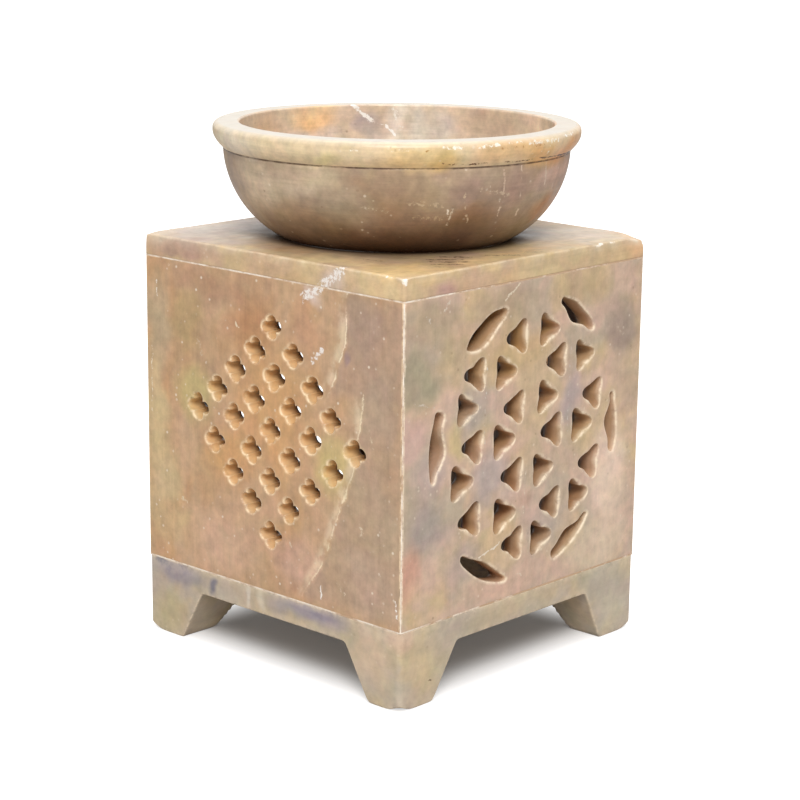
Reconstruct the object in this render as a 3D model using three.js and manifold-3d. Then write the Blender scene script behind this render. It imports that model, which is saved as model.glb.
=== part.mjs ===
// A soapstone incense burner: a pierced stone box on four feet with a loose turned bowl in its top.
// Millimetres. +Z is up, the roundel faces -Y, and the origin lies under the middle of the four feet.
import * as THREE from 'three';
import { mergeVertices } from 'three/addons/utils/BufferGeometryUtils.js';
import Module from 'manifold-3d';

const wasm = await Module();
wasm.setup();

// The box as a whole
const BODY_WIDTH = 76.5;
const ARRIS_RADIUS = 0.65;
const ARRIS_STEPS = 4;
const CEMENT_THICKNESS = 0.3;

// Base block with its four tapered feet
const FOOT_HEIGHT = 11.7;
const FOOT_WIDTH_AT_FLOOR = 9.95;
const FOOT_WIDTH_AT_PLATE = 16.55;
const FOOT_EDGE_ROUND = 0.5;
const BASE_PLATE_THICKNESS = 5.25;

// The four upright panels
const PANEL_HEIGHT = 67.1;
const PANEL_THICKNESS = 5.2;

// Quatrefoil lattice of the two side panels, a square of holes standing on its corner
const LATTICE_HOLES_PER_SIDE = 5;
const LATTICE_STEP_ACROSS = 5.77;
const LATTICE_STEP_UP = 5.53;
const LATTICE_SHIFT = 0.6;
const LATTICE_RISE = 1.4;
const LATTICE_TILT_DEGREES = -1.8;
const LOBE_OFFSET = 1.6;
const LOBE_RADIUS = 1.35;
const LOBE_STEPS = 5;

// Roundel of the front panel, triangles in a hexagon with crescents out to a circle
const HEXAGON_RADIUS = 30;
const HEXAGON_DIVISIONS = 2;
const CIRCLE_RADIUS = 30.6;
const ROUNDEL_SHIFT = 0.9;
const ROUNDEL_RISE = 0;
const ROUNDEL_TILT_DEGREES = -2.5;
const BAR_WIDTH = 4.4;
const TRIANGLE_CORNER = 0.14;
const TRIANGLE_WAIST = 0.35;
const CRESCENT_COUNT = 6;
const CRESCENT_HALF_LENGTH = 6.7;
const CRESCENT_TIP_INSET = 1.1;
const CRESCENT_WIDTH = 3.9;
const FRET_CURVE_STEPS = 4;

// Arched opening of the back panel
const ARCH_WIDTH = 46;
const ARCH_SPRING_HEIGHT = 27;
const ARCH_STEPS = 12;

// Top slab
const SLAB_THICKNESS = 4.6;
const SLAB_EDGE_ROUND = 0.5;
const EDGE_STEPS = 3;
const HOLE_STEPS = 48;

// Loose bowl
const BOWL_RISE = 24.25;
const BOWL_CURVE_RADIUS = 22.3;
const BOWL_FLAT_RADIUS = 14.85;
const BOWL_SINK = 2.3;
const BOWL_WALL = 3.55;
const LIP_RADIUS = 39.3;
const LIP_HEIGHT = 5.5;
const LIP_EDGE_ROUND = 0.9;
const GROOVE_DEPTH = 0.35;
const GROOVE_HEIGHT = 0.5;
const SEAT_CLEARANCE = 0.45;
const BOWL_STEPS = 48;
const BOWL_CURVE_STEPS = 4;

// A cutter runs past the faces it opens by this much
const CUT_OVERRUN = 1;
const WELD = 1e-4;

// Heights that follow from the sizes
const HALF = BODY_WIDTH / 2;
const QUARTER_TURN = Math.PI / 2;
const BASE_TOP = FOOT_HEIGHT + BASE_PLATE_THICKNESS;
const PANEL_BOTTOM = BASE_TOP + CEMENT_THICKNESS;
const PANEL_TOP = PANEL_BOTTOM + PANEL_HEIGHT;
const PANEL_MIDDLE = (PANEL_BOTTOM + PANEL_TOP) / 2;
const SLAB_BOTTOM = PANEL_TOP + CEMENT_THICKNESS;
const SLAB_TOP = SLAB_BOTTOM + SLAB_THICKNESS;
const RIM_TOP = SLAB_TOP + BOWL_RISE;
const BOWL_BOTTOM = SLAB_TOP - BOWL_SINK;
const BOWL_CENTRE_HEIGHT = BOWL_BOTTOM + BOWL_CURVE_RADIUS;

// Turns a closed geometry into a solid that can be cut and joined
function solid(geometry) {
  geometry.deleteAttribute('normal');
  geometry.deleteAttribute('uv');
  const welded = mergeVertices(geometry, WELD);
  const corners = welded.index.array;
  const kept = [];
  for (let i = 0; i < corners.length; i += 3) {
    const [a, b, c] = corners.slice(i, i + 3);
    if (a !== b && b !== c && c !== a) {
      kept.push(a, b, c);
    }
  }
  const vertProperties = Float32Array.from(welded.attributes.position.array);
  const triVerts = Uint32Array.from(kept);
  return new wasm.Manifold(new wasm.Mesh({ numProp: 3, vertProperties, triVerts }));
}

// Turns a finished solid into a named piece with its own stone colour, set round the box by quarter turns
function piece(name, body, colour, roughness, quarters = 0) {
  const mesh = body.getMesh();
  const geometry = new THREE.BufferGeometry();
  geometry.setAttribute('position', new THREE.BufferAttribute(Float32Array.from(mesh.vertProperties), 3));
  geometry.setIndex(new THREE.BufferAttribute(Uint32Array.from(mesh.triVerts), 1));
  geometry.rotateZ(quarters * QUARTER_TURN);
  geometry.computeVertexNormals();
  const material = new THREE.MeshStandardMaterial({ color: colour, roughness, metalness: 0 });
  const named = new THREE.Mesh(geometry, material);
  named.name = name;
  return named;
}

// Square plan with rounded corners
function roundedSquare(half, radius) {
  const shape = new THREE.Shape();
  shape.absarc(half - radius, half - radius, radius, 0, QUARTER_TURN);
  shape.absarc(radius - half, half - radius, radius, QUARTER_TURN, 2 * QUARTER_TURN);
  shape.absarc(radius - half, radius - half, radius, 2 * QUARTER_TURN, 3 * QUARTER_TURN);
  shape.absarc(half - radius, radius - half, radius, 3 * QUARTER_TURN, 4 * QUARTER_TURN);
  return shape;
}

// Upright prism over a plan shape
function prism(shape, bottom, height, curveSegments) {
  const geometry = new THREE.ExtrudeGeometry(shape, { depth: height, bevelEnabled: false, curveSegments });
  return solid(geometry.translate(0, 0, bottom));
}

// Square block with rounded corners whose top and bottom edges are rounded as well
function softBlock(bottom, height, edge) {
  const geometry = new THREE.ExtrudeGeometry(roundedSquare(HALF, ARRIS_RADIUS), {
    depth: height - 2 * edge,
    bevelSize: edge,
    bevelThickness: edge,
    bevelOffset: -edge,
    bevelSegments: EDGE_STEPS,
    curveSegments: ARRIS_STEPS / 2,
  });
  return solid(geometry.translate(0, 0, bottom + edge));
}

// Rectangular block between two corners
function block(low, high) {
  const size = new THREE.Vector3().subVectors(high, low);
  const middle = new THREE.Vector3().addVectors(low, high).multiplyScalar(0.5);
  return solid(new THREE.BoxGeometry(size.x, size.y, size.z).translate(middle.x, middle.y, middle.z));
}

// Base: the side view of two tapered feet under a plate, carved through the block in both directions
function baseWithFeet() {
  const blank = softBlock(0, BASE_TOP + FOOT_EDGE_ROUND, FOOT_EDGE_ROUND);
  const profile = new THREE.Shape([
    new THREE.Vector2(-HALF, 0),
    new THREE.Vector2(FOOT_WIDTH_AT_FLOOR - HALF, 0),
    new THREE.Vector2(FOOT_WIDTH_AT_PLATE - HALF, FOOT_HEIGHT),
    new THREE.Vector2(HALF - FOOT_WIDTH_AT_PLATE, FOOT_HEIGHT),
    new THREE.Vector2(HALF - FOOT_WIDTH_AT_FLOOR, 0),
    new THREE.Vector2(HALF, 0),
    new THREE.Vector2(HALF, BASE_TOP),
    new THREE.Vector2(-HALF, BASE_TOP),
  ]);
  const length = BODY_WIDTH + 2 * CUT_OVERRUN;
  const across = new THREE.ExtrudeGeometry(profile, { depth: length, bevelEnabled: false });
  across.rotateX(QUARTER_TURN).translate(0, length / 2, 0);
  const along = across.clone().rotateZ(QUARTER_TURN);
  return blank.intersect(solid(across)).intersect(solid(along));
}

// Where the mitre of a panel meets its rounded outer corner, as an angle round that corner
const MITRE_TRIM = Math.asin(CEMENT_THICKNESS / (2 * ARRIS_RADIUS));
const MITRE_STEP = CEMENT_THICKNESS / Math.SQRT2;
const INNER_FACE = PANEL_THICKNESS - HALF;

// Outer end of the front panel, from its mitre round to its face, at the left-hand corner
function cornerArc() {
  const start = 2.5 * QUARTER_TURN + MITRE_TRIM;
  const turn = 3 * QUARTER_TURN - start;
  const centre = ARRIS_RADIUS - HALF;
  return Array.from({ length: ARRIS_STEPS / 2 + 1 }, (_, i) => {
    const angle = start + (turn * i) / (ARRIS_STEPS / 2);
    const arc = new THREE.Vector2(Math.cos(angle), Math.sin(angle));
    return arc.multiplyScalar(ARRIS_RADIUS).addScalar(centre);
  });
}

// Plan of the front panel: outer face, two rounded ends and a mitre at each end
function panelBlank() {
  const left = [new THREE.Vector2(INNER_FACE + MITRE_STEP, INNER_FACE), ...cornerArc()];
  const right = left.map((point) => new THREE.Vector2(-point.x, point.y)).reverse();
  return prism(new THREE.Shape([...left, ...right]), PANEL_BOTTOM, PANEL_HEIGHT);
}

// Cuts outlines, drawn about their own middle and tilted in the face, straight through the front panel
function pierce(outlines, curveSegments, shift, rise, tiltDegrees) {
  const depth = PANEL_THICKNESS + 2 * CUT_OVERRUN;
  const cutter = new THREE.ExtrudeGeometry(outlines, { depth, bevelEnabled: false, curveSegments });
  cutter.rotateZ(THREE.MathUtils.degToRad(tiltDegrees)).rotateX(QUARTER_TURN);
  cutter.translate(shift, INNER_FACE + CUT_OVERRUN, PANEL_MIDDLE + rise);
  return panelBlank().subtract(solid(cutter));
}

// One hole of four round lobes that run into one another
function quatrefoil(x, y) {
  const cusp = (LOBE_OFFSET + Math.sqrt(2 * LOBE_RADIUS ** 2 - LOBE_OFFSET ** 2)) / 2;
  const sweep = Math.atan2(cusp, cusp - LOBE_OFFSET);
  const [centre, place] = [new THREE.Vector2(), new THREE.Vector2(x, y)];
  const points = [];
  for (let lobe = 0; lobe < 4; lobe += 1) {
    for (let i = 0; i < LOBE_STEPS; i += 1) {
      const angle = -sweep + (2 * sweep * i) / LOBE_STEPS;
      const point = new THREE.Vector2(Math.cos(angle), Math.sin(angle)).multiplyScalar(LOBE_RADIUS);
      point.x += LOBE_OFFSET;
      points.push(point.rotateAround(centre, lobe * QUARTER_TURN).add(place));
    }
  }
  return new THREE.Shape(points);
}

// The square of quatrefoils on its corner
function quatrefoilLattice() {
  const middle = (LATTICE_HOLES_PER_SIDE - 1) / 2;
  const outlines = [];
  for (let i = 0; i < LATTICE_HOLES_PER_SIDE; i += 1) {
    for (let j = 0; j < LATTICE_HOLES_PER_SIDE; j += 1) {
      const across = (i - j) * LATTICE_STEP_ACROSS;
      const up = (i + j - 2 * middle) * LATTICE_STEP_UP;
      outlines.push(quatrefoil(across, up));
    }
  }
  return outlines;
}

// One triangular hole with soft corners and drawn-in sides; its point looks right (+1) or left (-1)
function triangleHole(x, y, facing, reach) {
  const centre = new THREE.Vector2(x, y);
  const corners = [0, 1, 2].map((i) => {
    const angle = (facing > 0 ? 0 : Math.PI) + (i * 4 * QUARTER_TURN) / 3;
    return new THREE.Vector2(Math.cos(angle), Math.sin(angle)).multiplyScalar(reach).add(centre);
  });
  const shape = new THREE.Shape();
  corners.forEach((corner, i) => {
    const next = corners[(i + 1) % 3];
    const from = corner.clone().lerp(next, TRIANGLE_CORNER);
    const to = next.clone().lerp(corner, TRIANGLE_CORNER);
    const after = next.clone().lerp(corners[(i + 2) % 3], TRIANGLE_CORNER);
    const half = corner.clone().lerp(next, 0.5);
    const inward = centre.clone().sub(half).setLength(2 * TRIANGLE_WAIST);
    const waist = half.add(inward);
    if (i === 0) {
      shape.moveTo(from.x, from.y);
    }
    shape.quadraticCurveTo(waist.x, waist.y, to.x, to.y);
    shape.quadraticCurveTo(next.x, next.y, after.x, after.y);
  });
  return shape;
}

// One crescent between a side of the hexagon and the circle, turned to its side
function crescentHole(turn) {
  const tipRadius = CIRCLE_RADIUS - CRESCENT_TIP_INSET;
  const tipReach = Math.sqrt(tipRadius ** 2 - CRESCENT_HALF_LENGTH ** 2);
  const outer = 2 * CIRCLE_RADIUS - tipReach;
  const inner = 2 * (CIRCLE_RADIUS - CRESCENT_WIDTH) - tipReach;
  const origin = new THREE.Vector2();
  const at = (x, y) => new THREE.Vector2(x, y).rotateAround(origin, turn);
  const [low, high] = [at(tipReach, -CRESCENT_HALF_LENGTH), at(tipReach, CRESCENT_HALF_LENGTH)];
  const [outside, inside] = [at(outer, 0), at(inner, 0)];
  const shape = new THREE.Shape();
  shape.moveTo(low.x, low.y);
  shape.quadraticCurveTo(outside.x, outside.y, high.x, high.y);
  shape.quadraticCurveTo(inside.x, inside.y, low.x, low.y);
  return shape;
}

// The roundel: every unit triangle of a divided hexagon, then the crescents round it
function roundel() {
  const side = HEXAGON_RADIUS / HEXAGON_DIVISIONS;
  const column = side * Math.cos(QUARTER_TURN / 3);
  const reach = side / Math.sqrt(3) - BAR_WIDTH;
  const outlines = [];
  for (let k = -HEXAGON_DIVISIONS; k < HEXAGON_DIVISIONS; k += 1) {
    for (let j = -2 * HEXAGON_DIVISIONS; j <= 2 * HEXAGON_DIVISIONS; j += 1) {
      const facing = (j + k) % 2 === 0 ? -1 : 1;
      const x = (k + (facing > 0 ? 1 : 2) / 3) * column;
      const y = (j * side) / 2;
      if (Math.abs(y) + Math.abs(x) / Math.sqrt(3) < HEXAGON_RADIUS) {
        outlines.push(triangleHole(x, y, facing, reach));
      }
    }
  }
  for (let i = 0; i < CRESCENT_COUNT; i += 1) {
    outlines.push(crescentHole((i * 4 * QUARTER_TURN) / CRESCENT_COUNT));
  }
  return outlines;
}

// Round-headed opening that runs out through the foot of its panel
function archOutline() {
  const radius = ARCH_WIDTH / 2;
  const floor = -PANEL_HEIGHT / 2 - CUT_OVERRUN;
  const spring = ARCH_SPRING_HEIGHT - PANEL_HEIGHT / 2;
  const shape = new THREE.Shape();
  shape.moveTo(-radius, floor);
  shape.lineTo(radius, floor);
  shape.absarc(0, spring, radius, 0, 2 * QUARTER_TURN);
  return shape;
}

// Cement between the mitres of two panels, at the front left corner
function cornerCement() {
  const inner = new THREE.Vector2(INNER_FACE + MITRE_STEP, INNER_FACE);
  const outer = cornerArc()[0];
  const flip = (point) => new THREE.Vector2(point.y, point.x);
  return prism(new THREE.Shape([inner, flip(inner), flip(outer), outer]), PANEL_BOTTOM, PANEL_HEIGHT);
}

// Cement spread over the edges of the four panels
function cementBed(bottom) {
  const outer = prism(roundedSquare(HALF, ARRIS_RADIUS), bottom, CEMENT_THICKNESS, ARRIS_STEPS / 2);
  const low = new THREE.Vector3(INNER_FACE, INNER_FACE, bottom - CUT_OVERRUN);
  const high = new THREE.Vector3(-INNER_FACE, -INNER_FACE, bottom + CUT_OVERRUN);
  return outer.subtract(block(low, high));
}

// The lower bed stops at either side of the arch
function lowerBed() {
  const low = new THREE.Vector3(-ARCH_WIDTH / 2, 0, BASE_TOP - CUT_OVERRUN);
  const high = new THREE.Vector3(ARCH_WIDTH / 2, HALF + CUT_OVERRUN, PANEL_BOTTOM + CUT_OVERRUN);
  return cementBed(BASE_TOP).subtract(block(low, high));
}

// Outer radius of the bowl's curved side at a height
function bowlRadiusAt(height) {
  const rise = height - BOWL_CENTRE_HEIGHT;
  return BOWL_FLAT_RADIUS + Math.sqrt(BOWL_CURVE_RADIUS ** 2 - rise ** 2);
}

// Slab with a softened upper edge and the round hole the bowl sits in
function topSlab() {
  const blank = softBlock(SLAB_BOTTOM - SLAB_EDGE_ROUND, SLAB_THICKNESS + SLAB_EDGE_ROUND, SLAB_EDGE_ROUND);
  const low = new THREE.Vector3(-BODY_WIDTH, -BODY_WIDTH, SLAB_BOTTOM - BODY_WIDTH);
  const high = new THREE.Vector3(BODY_WIDTH, BODY_WIDTH, SLAB_BOTTOM);
  const radius = bowlRadiusAt(SLAB_TOP) + SEAT_CLEARANCE;
  const depth = SLAB_THICKNESS + 2 * CUT_OVERRUN;
  const hole = new THREE.CylinderGeometry(radius, radius, depth, HOLE_STEPS);
  hole.rotateX(QUARTER_TURN).translate(0, 0, SLAB_BOTTOM - CUT_OVERRUN + depth / 2);
  return blank.subtract(block(low, high)).subtract(solid(hole));
}

// Bowl turned about its axis: flat bottom, round side, groove, rolled lip, straight mouth, round inside
function bowl() {
  const lipBottom = RIM_TOP - LIP_HEIGHT;
  const grooveBottom = lipBottom - GROOVE_HEIGHT;
  const grooveAngle = Math.asin((grooveBottom - BOWL_CENTRE_HEIGHT) / BOWL_CURVE_RADIUS);
  const grooveRadius = bowlRadiusAt(grooveBottom);
  const inside = BOWL_CURVE_RADIUS - BOWL_WALL;
  const mouth = BOWL_FLAT_RADIUS + inside;
  const lipSide = RIM_TOP - LIP_EDGE_ROUND;
  const path = new THREE.Path();
  path.moveTo(0, BOWL_BOTTOM);
  path.lineTo(BOWL_FLAT_RADIUS, BOWL_BOTTOM);
  path.absarc(BOWL_FLAT_RADIUS, BOWL_CENTRE_HEIGHT, BOWL_CURVE_RADIUS, -QUARTER_TURN, grooveAngle);
  path.lineTo(grooveRadius - GROOVE_DEPTH, grooveBottom + GROOVE_HEIGHT / 2);
  path.lineTo(grooveRadius, lipBottom);
  path.quadraticCurveTo(LIP_RADIUS, lipBottom + GROOVE_HEIGHT, LIP_RADIUS, lipSide);
  path.quadraticCurveTo(LIP_RADIUS, RIM_TOP, LIP_RADIUS - LIP_EDGE_ROUND, RIM_TOP);
  path.lineTo(mouth + LIP_EDGE_ROUND / 2, RIM_TOP);
  path.quadraticCurveTo(mouth, RIM_TOP, mouth, RIM_TOP - LIP_EDGE_ROUND / 2);
  path.lineTo(mouth, BOWL_CENTRE_HEIGHT);
  path.absarc(BOWL_FLAT_RADIUS, BOWL_CENTRE_HEIGHT, inside, 0, -QUARTER_TURN, true);
  path.lineTo(0, BOWL_CENTRE_HEIGHT - inside);
  const profile = path.getPoints(BOWL_CURVE_STEPS);
  return solid(new THREE.LatheGeometry(profile, BOWL_STEPS).rotateX(QUARTER_TURN));
}

const lattice = pierce(quatrefoilLattice(), LOBE_STEPS, LATTICE_SHIFT, LATTICE_RISE, LATTICE_TILT_DEGREES);
const front = pierce(roundel(), FRET_CURVE_STEPS, ROUNDEL_SHIFT, ROUNDEL_RISE, ROUNDEL_TILT_DEGREES);
const back = pierce([archOutline()], ARCH_STEPS, 0, 0, 0);
const corner = cornerCement();

const group = new THREE.Group();
group.name = 'soapstone_incense_burner';
group.add(
  piece('base_with_feet', baseWithFeet(), '#b5a285', 0.55),
  piece('lower_cement_bed', lowerBed(), '#efe4d2', 0.8),
  piece('front_roundel_panel', front, '#b9a58c', 0.55),
  piece('left_lattice_panel', lattice, '#c9a285', 0.55, -1),
  piece('back_arch_panel', back, '#bfa588', 0.55, 2),
  piece('right_lattice_panel', lattice, '#c2a288', 0.55, 1),
  piece('front_left_corner_cement', corner, '#efe4d2', 0.8),
  piece('back_left_corner_cement', corner, '#efe4d2', 0.8, -1),
  piece('back_right_corner_cement', corner, '#efe4d2', 0.8, 2),
  piece('front_right_corner_cement', corner, '#efe4d2', 0.8, 1),
  piece('upper_cement_bed', cementBed(PANEL_TOP), '#efe4d2', 0.8),
  piece('top_slab', topSlab(), '#c9a87c', 0.5),
  piece('loose_bowl', bowl(), '#ab957a', 0.5),
);

export default group;
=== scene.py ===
from functools import partial

import bmesh
import bpy
import numpy as np
from mathutils import Matrix
from mathutils.geometry import delaunay_2d_cdt


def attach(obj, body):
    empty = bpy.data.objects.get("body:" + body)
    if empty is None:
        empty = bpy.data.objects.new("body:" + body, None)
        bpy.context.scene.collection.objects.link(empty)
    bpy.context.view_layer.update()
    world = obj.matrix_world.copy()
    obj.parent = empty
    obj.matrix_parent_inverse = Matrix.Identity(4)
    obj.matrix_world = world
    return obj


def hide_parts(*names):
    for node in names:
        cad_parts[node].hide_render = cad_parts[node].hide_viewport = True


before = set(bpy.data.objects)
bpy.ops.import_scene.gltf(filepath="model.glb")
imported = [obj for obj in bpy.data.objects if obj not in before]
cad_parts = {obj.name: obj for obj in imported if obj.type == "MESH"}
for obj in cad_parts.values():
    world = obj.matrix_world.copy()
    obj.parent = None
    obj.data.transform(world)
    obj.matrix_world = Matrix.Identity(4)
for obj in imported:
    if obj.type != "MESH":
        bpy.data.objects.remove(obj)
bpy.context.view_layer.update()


# BASE WITH FEET
# One square block of soapstone, sawn and carved underneath so that a plate stands on four feet with
# sloping inner sides. The feet were sawn by eye and differ by a millimetre or two in width.

HALF = 38.25
FOOT_HEIGHT = 11.7
BASE_TOP = 16.95
BASE_ARRIS, FOOT_EDGE = 1.25, 0.55
FOOT_WORN, WORN_REACH = 1.25, 2.3
SLOPE_RUB, CARVED_RUB = 0.002, 0.4
BASE_TOP_EDGE = 0.25
# Pale rubbed edges at the foot and along the top of the block: partly wear, partly a painted highlight where
# the edges catch the light.
FOOT_WEAR_AND_HIGHLIGHT, TOP_WEAR_AND_HIGHLIGHT = (0.2, 0.5, 0.8, 0.6, 0.2), (0.3, 0.6, 0.7, 0.6, 0.4)
FLOOR_WIDTH_X, FLOOR_WIDTH_Y = (9.85, 11.25), (8.85, 10.75)
PLATE_WIDTH_X, PLATE_WIDTH_Y = (17.15, 16.65), (15.65, 17.05)


def foot_view(a, floor_width, plate_width):
    """Side view of a pair of feet: nought under a foot, the foot's height between the feet, and a straight
    slope from one to the other. The soft clip (t + |t| - |t - 1|, with the corners of |.| rounded) rubs
    the two ends of the slope."""
    floor, plate = (np.where(a < 0, *pair) for pair in (floor_width, plate_width))
    t = (HALF - floor - np.abs(a)) / (plate - floor)
    return FOOT_HEIGHT * 0.5 * (1 + np.sqrt(t**2 + SLOPE_RUB) - np.sqrt((t - 1) ** 2 + SLOPE_RUB))


def base_underside(x, y, rub=CARVED_RUB):
    """Height of the carved underside: the higher of the two side views, joined by a rounded maximum, plus a
    bell curve of the distance from each corner, where the foot is worn round."""
    a, b = foot_view(x, FLOOR_WIDTH_X, PLATE_WIDTH_X), foot_view(y, FLOOR_WIDTH_Y, PLATE_WIDTH_Y)
    carved = np.maximum(0.5 * (a + b + np.sqrt((a - b) ** 2 + rub**2)) - 0.5 * rub, 0)
    away = np.hypot(HALF - np.abs(x), HALF - np.abs(y))
    return carved + FOOT_WORN * np.exp(-((away / WORN_REACH) ** 2))


def edged(half, radius, count, steps=5):
    """Numbers from -half to half: a few across each rounded corner and an even run between the corners."""
    corner = half - radius * (1 - np.linspace(0, 1, steps + 1)[1:])
    return np.concatenate([-corner[::-1], np.linspace(radius - half, half - radius, count), corner])


def rounded_corner(x, y, half, radius):
    """Pulls the corners of a square sheet in to quarter circles: inside each corner square of side radius
    the point (p, q) goes to (p sqrt(1 - q*q/2), q sqrt(1 - p*p/2))."""
    inner = half - radius
    p, q = ((np.abs(v) - inner).clip(0) / radius for v in (x, y))
    px, qy = p * np.sqrt(1 - q**2 / 2), q * np.sqrt(1 - p**2 / 2)
    corner = (p > 0) & (q > 0)
    return (
        np.where(corner, np.sign(x) * (inner + radius * px), x),
        np.where(corner, np.sign(y) * (inner + radius * qy), y),
    )


def unit(vectors):
    """Vectors divided by their lengths."""
    return vectors / np.linalg.norm(vectors, axis=-1, keepdims=True)


def numbered(rings):
    """The numbers of the points of a grid, row by row."""
    return np.arange(rings[..., 0].size).reshape(rings.shape[:-1])


def grid_faces(index, closed=True):
    """Quads between neighbouring rows of a grid of point numbers. Closed rows join their ends."""
    near = np.roll(index, -1, axis=-1)
    quads = np.stack([index[:-1], near[:-1], near[1:], index[1:]], -1)
    return (quads if closed else quads[..., :-1, :]).reshape(-1, 4).tolist()


MILLIMETRE, SAME_POINT = 0.001, 2e-6


def stone_piece(name, points, faces, **paint):
    """A closed stone body from points in millimetres. Doubled points are merged, faces turned outwards,
    and each named paint array becomes a point attribute for the material."""
    mesh = bpy.data.meshes.new(name)
    mesh.from_pydata((np.asarray(points) * MILLIMETRE).tolist(), [], faces)
    for label, values in paint.items():
        layer = mesh.attributes.new(label, "FLOAT", "POINT")
        layer.data.foreach_set("value", np.asarray(values, np.float32).ravel())
    work = bmesh.new()
    work.from_mesh(mesh)
    bmesh.ops.remove_doubles(work, verts=work.verts, dist=SAME_POINT)
    bmesh.ops.recalc_face_normals(work, faces=work.faces)
    work.to_mesh(mesh)
    work.free()
    mesh.polygons.foreach_set("use_smooth", np.ones(len(mesh.polygons), bool))
    piece = bpy.data.objects.new(name, mesh)
    bpy.context.scene.collection.objects.link(piece)
    piece.modifiers.new("flat_faces_stay_flat", "WEIGHTED_NORMAL").weight = 80
    return piece


def base_block():
    """Underside on a square grid with rounded corners, then rings carried round its rim: a quarter round
    at the lower edge, the upright face, a small round at the upper edge, and the flat top."""
    reach, radius = HALF - FOOT_EDGE, BASE_ARRIS - FOOT_EDGE
    line = edged(reach, radius, 121)
    flat_x, flat_y = np.meshgrid(line, line, indexing="ij")
    x, y = rounded_corner(flat_x, flat_y, reach, radius)
    under = np.stack([x, y, base_underside(flat_x, flat_y)], -1)
    index = numbered(under)
    rim = np.concatenate([index[:-1, 0], index[-1, :-1], index[:0:-1, -1], index[0, :0:-1]])
    edge = under.reshape(-1, 3)[rim]
    out = unit(edge[:, :2] - edge[:, :2].clip(BASE_ARRIS - HALF, HALF - BASE_ARRIS))
    turn = np.linspace(0, np.pi / 2, 5)[1:]
    top_edge = BASE_TOP_EDGE
    push = np.concatenate(
        [FOOT_EDGE * np.sin(turn), np.full(4, FOOT_EDGE), FOOT_EDGE - top_edge * (1 - np.cos(turn))]
    )
    part = np.linspace(0.25, 1, 4)[:, None]
    low = edge[:, 2] + FOOT_EDGE * (1 - np.cos(turn))[:, None]
    high = np.repeat((BASE_TOP - top_edge + top_edge * np.sin(turn))[:, None], len(rim), 1)
    side = low[-1] + part * (BASE_TOP - top_edge - low[-1])
    height = np.concatenate([low, side, high])
    rings = np.concatenate([edge[None, :, :2] + push[:, None, None] * out[None], height[..., None]], -1)
    ring_index = np.concatenate([rim[None], index.size + numbered(rings)])
    points = np.concatenate([under.reshape(-1, 3), rings.reshape(-1, 3)])
    faces = grid_faces(index, closed=False) + grid_faces(ring_index) + [ring_index[-1].tolist()]
    wear = np.zeros(len(points))
    wear[ring_index[:5]] = np.array(FOOT_WEAR_AND_HIGHLIGHT)[:, None]
    wear[ring_index[8:]] = np.array(TOP_WEAR_AND_HIGHLIGHT)[:, None]
    return points, faces, wear


def linear(code):
    """A colour written as sRGB hex, as the linear red, green, blue and alpha that shaders take."""
    c = np.array([int(code[i : i + 2], 16) for i in (1, 3, 5)]) / 255
    return (*np.where(c <= 0.04045, c / 12.92, ((c + 0.055) / 1.055) ** 2.4), 1.0)


# Each kind of node with a mode, the setting that holds it, and two that come up often: an eased ramp and a
# mix of two colours.
MODES = {"Math": "operation", "VectorMath": "operation", "Mix": "data_type", "MapRange": "interpolation_type"}
SOFT, BLEND = "MapRange:SMOOTHSTEP", "Mix:RGBA"


def add(tree, kind, *values, out=None, **settings):
    """Adds one node and gives one of its outputs. A kind such as Math:ADD names the node's mode too. Settings
    in small letters are the node's own; those with a capital, and the values in their order, go to its
    sockets, as numbers or as links."""
    kind, _, mode = kind.partition(":")
    node = tree.nodes.new("ShaderNode" + kind)
    if mode:
        setattr(node, MODES[kind], mode)
    for key in filter(str.islower, settings):
        setattr(node, key, settings[key])
    given = list(zip([socket for socket in node.inputs if socket.enabled], values))
    given += [(node.inputs[key], value) for key, value in settings.items() if key[0].isupper()]
    for socket, value in given:
        if isinstance(value, bpy.types.NodeSocket):
            tree.links.new(value, socket)
        else:
            socket.default_value = value
    return node.outputs[out] if out else next(socket for socket in node.outputs if socket.enabled)


def blank_material(name):
    """A new node material: itself, the function that adds its nodes, its shader's sockets, and its links."""
    material = bpy.data.materials.new(name)
    material.use_nodes = True
    tree = material.node_tree
    return material, partial(add, tree), tree.nodes["Principled BSDF"].inputs, tree.links


# Pattern sizes in mm. Real saw and lathe marks lie about a tenth of a millimetre apart, too fine to show, so
# they are drawn as coarse as SAW_SIZE and BAND_SIZE; grains of talc are drawn as coarse as SPECK_SIZE.
BLOCK_STEP, TONE_STEP = np.array((137.0, 71.0, 43.0)), np.array((53.0, 29.0, 17.0))
DRIFT_SIZE, DRIFT = 13, 5.0
PATCH_SIZES = (26, 14, 10)
VEIN_TALL, VEIN_WIDE, VEIN_END = 100.0, 80.0, 4
VEIN_SIZE, VEIN_WANDER, VEIN_BREAK = 6, 4.0, 3
MOTTLE_SIZE, SAW_SIZE, BAND_SIZE = 2.4, 0.7, 3.2
TINT_SIZE, TINT = 5.5, 0.18
SPECK_SIZE, SPECK_GROUP = 2.1, 8
RAGGED_SIZE, RAGGED, CRUST_SIZE = 2.2, 0.8, 0.9
WAX_SIZE = 5
TALC, GRIT = "#f0e2cc", "#80634a"
# Dark brown on the inside of the box and deep in its holes: partly soot, partly painted shade of the dark
# inside.
# Pale rubbed edges: partly wear, partly a painted highlight where the edges catch the light.
RUBBED_AND_HIGHLIT, SOOT_AND_SHADE = ("wear", "#f6e3c6", 0.9, 2.0), ("soot", "#5c3b23", 0.85, 0)
SOAPSTONE_IOR = 1.54


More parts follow.
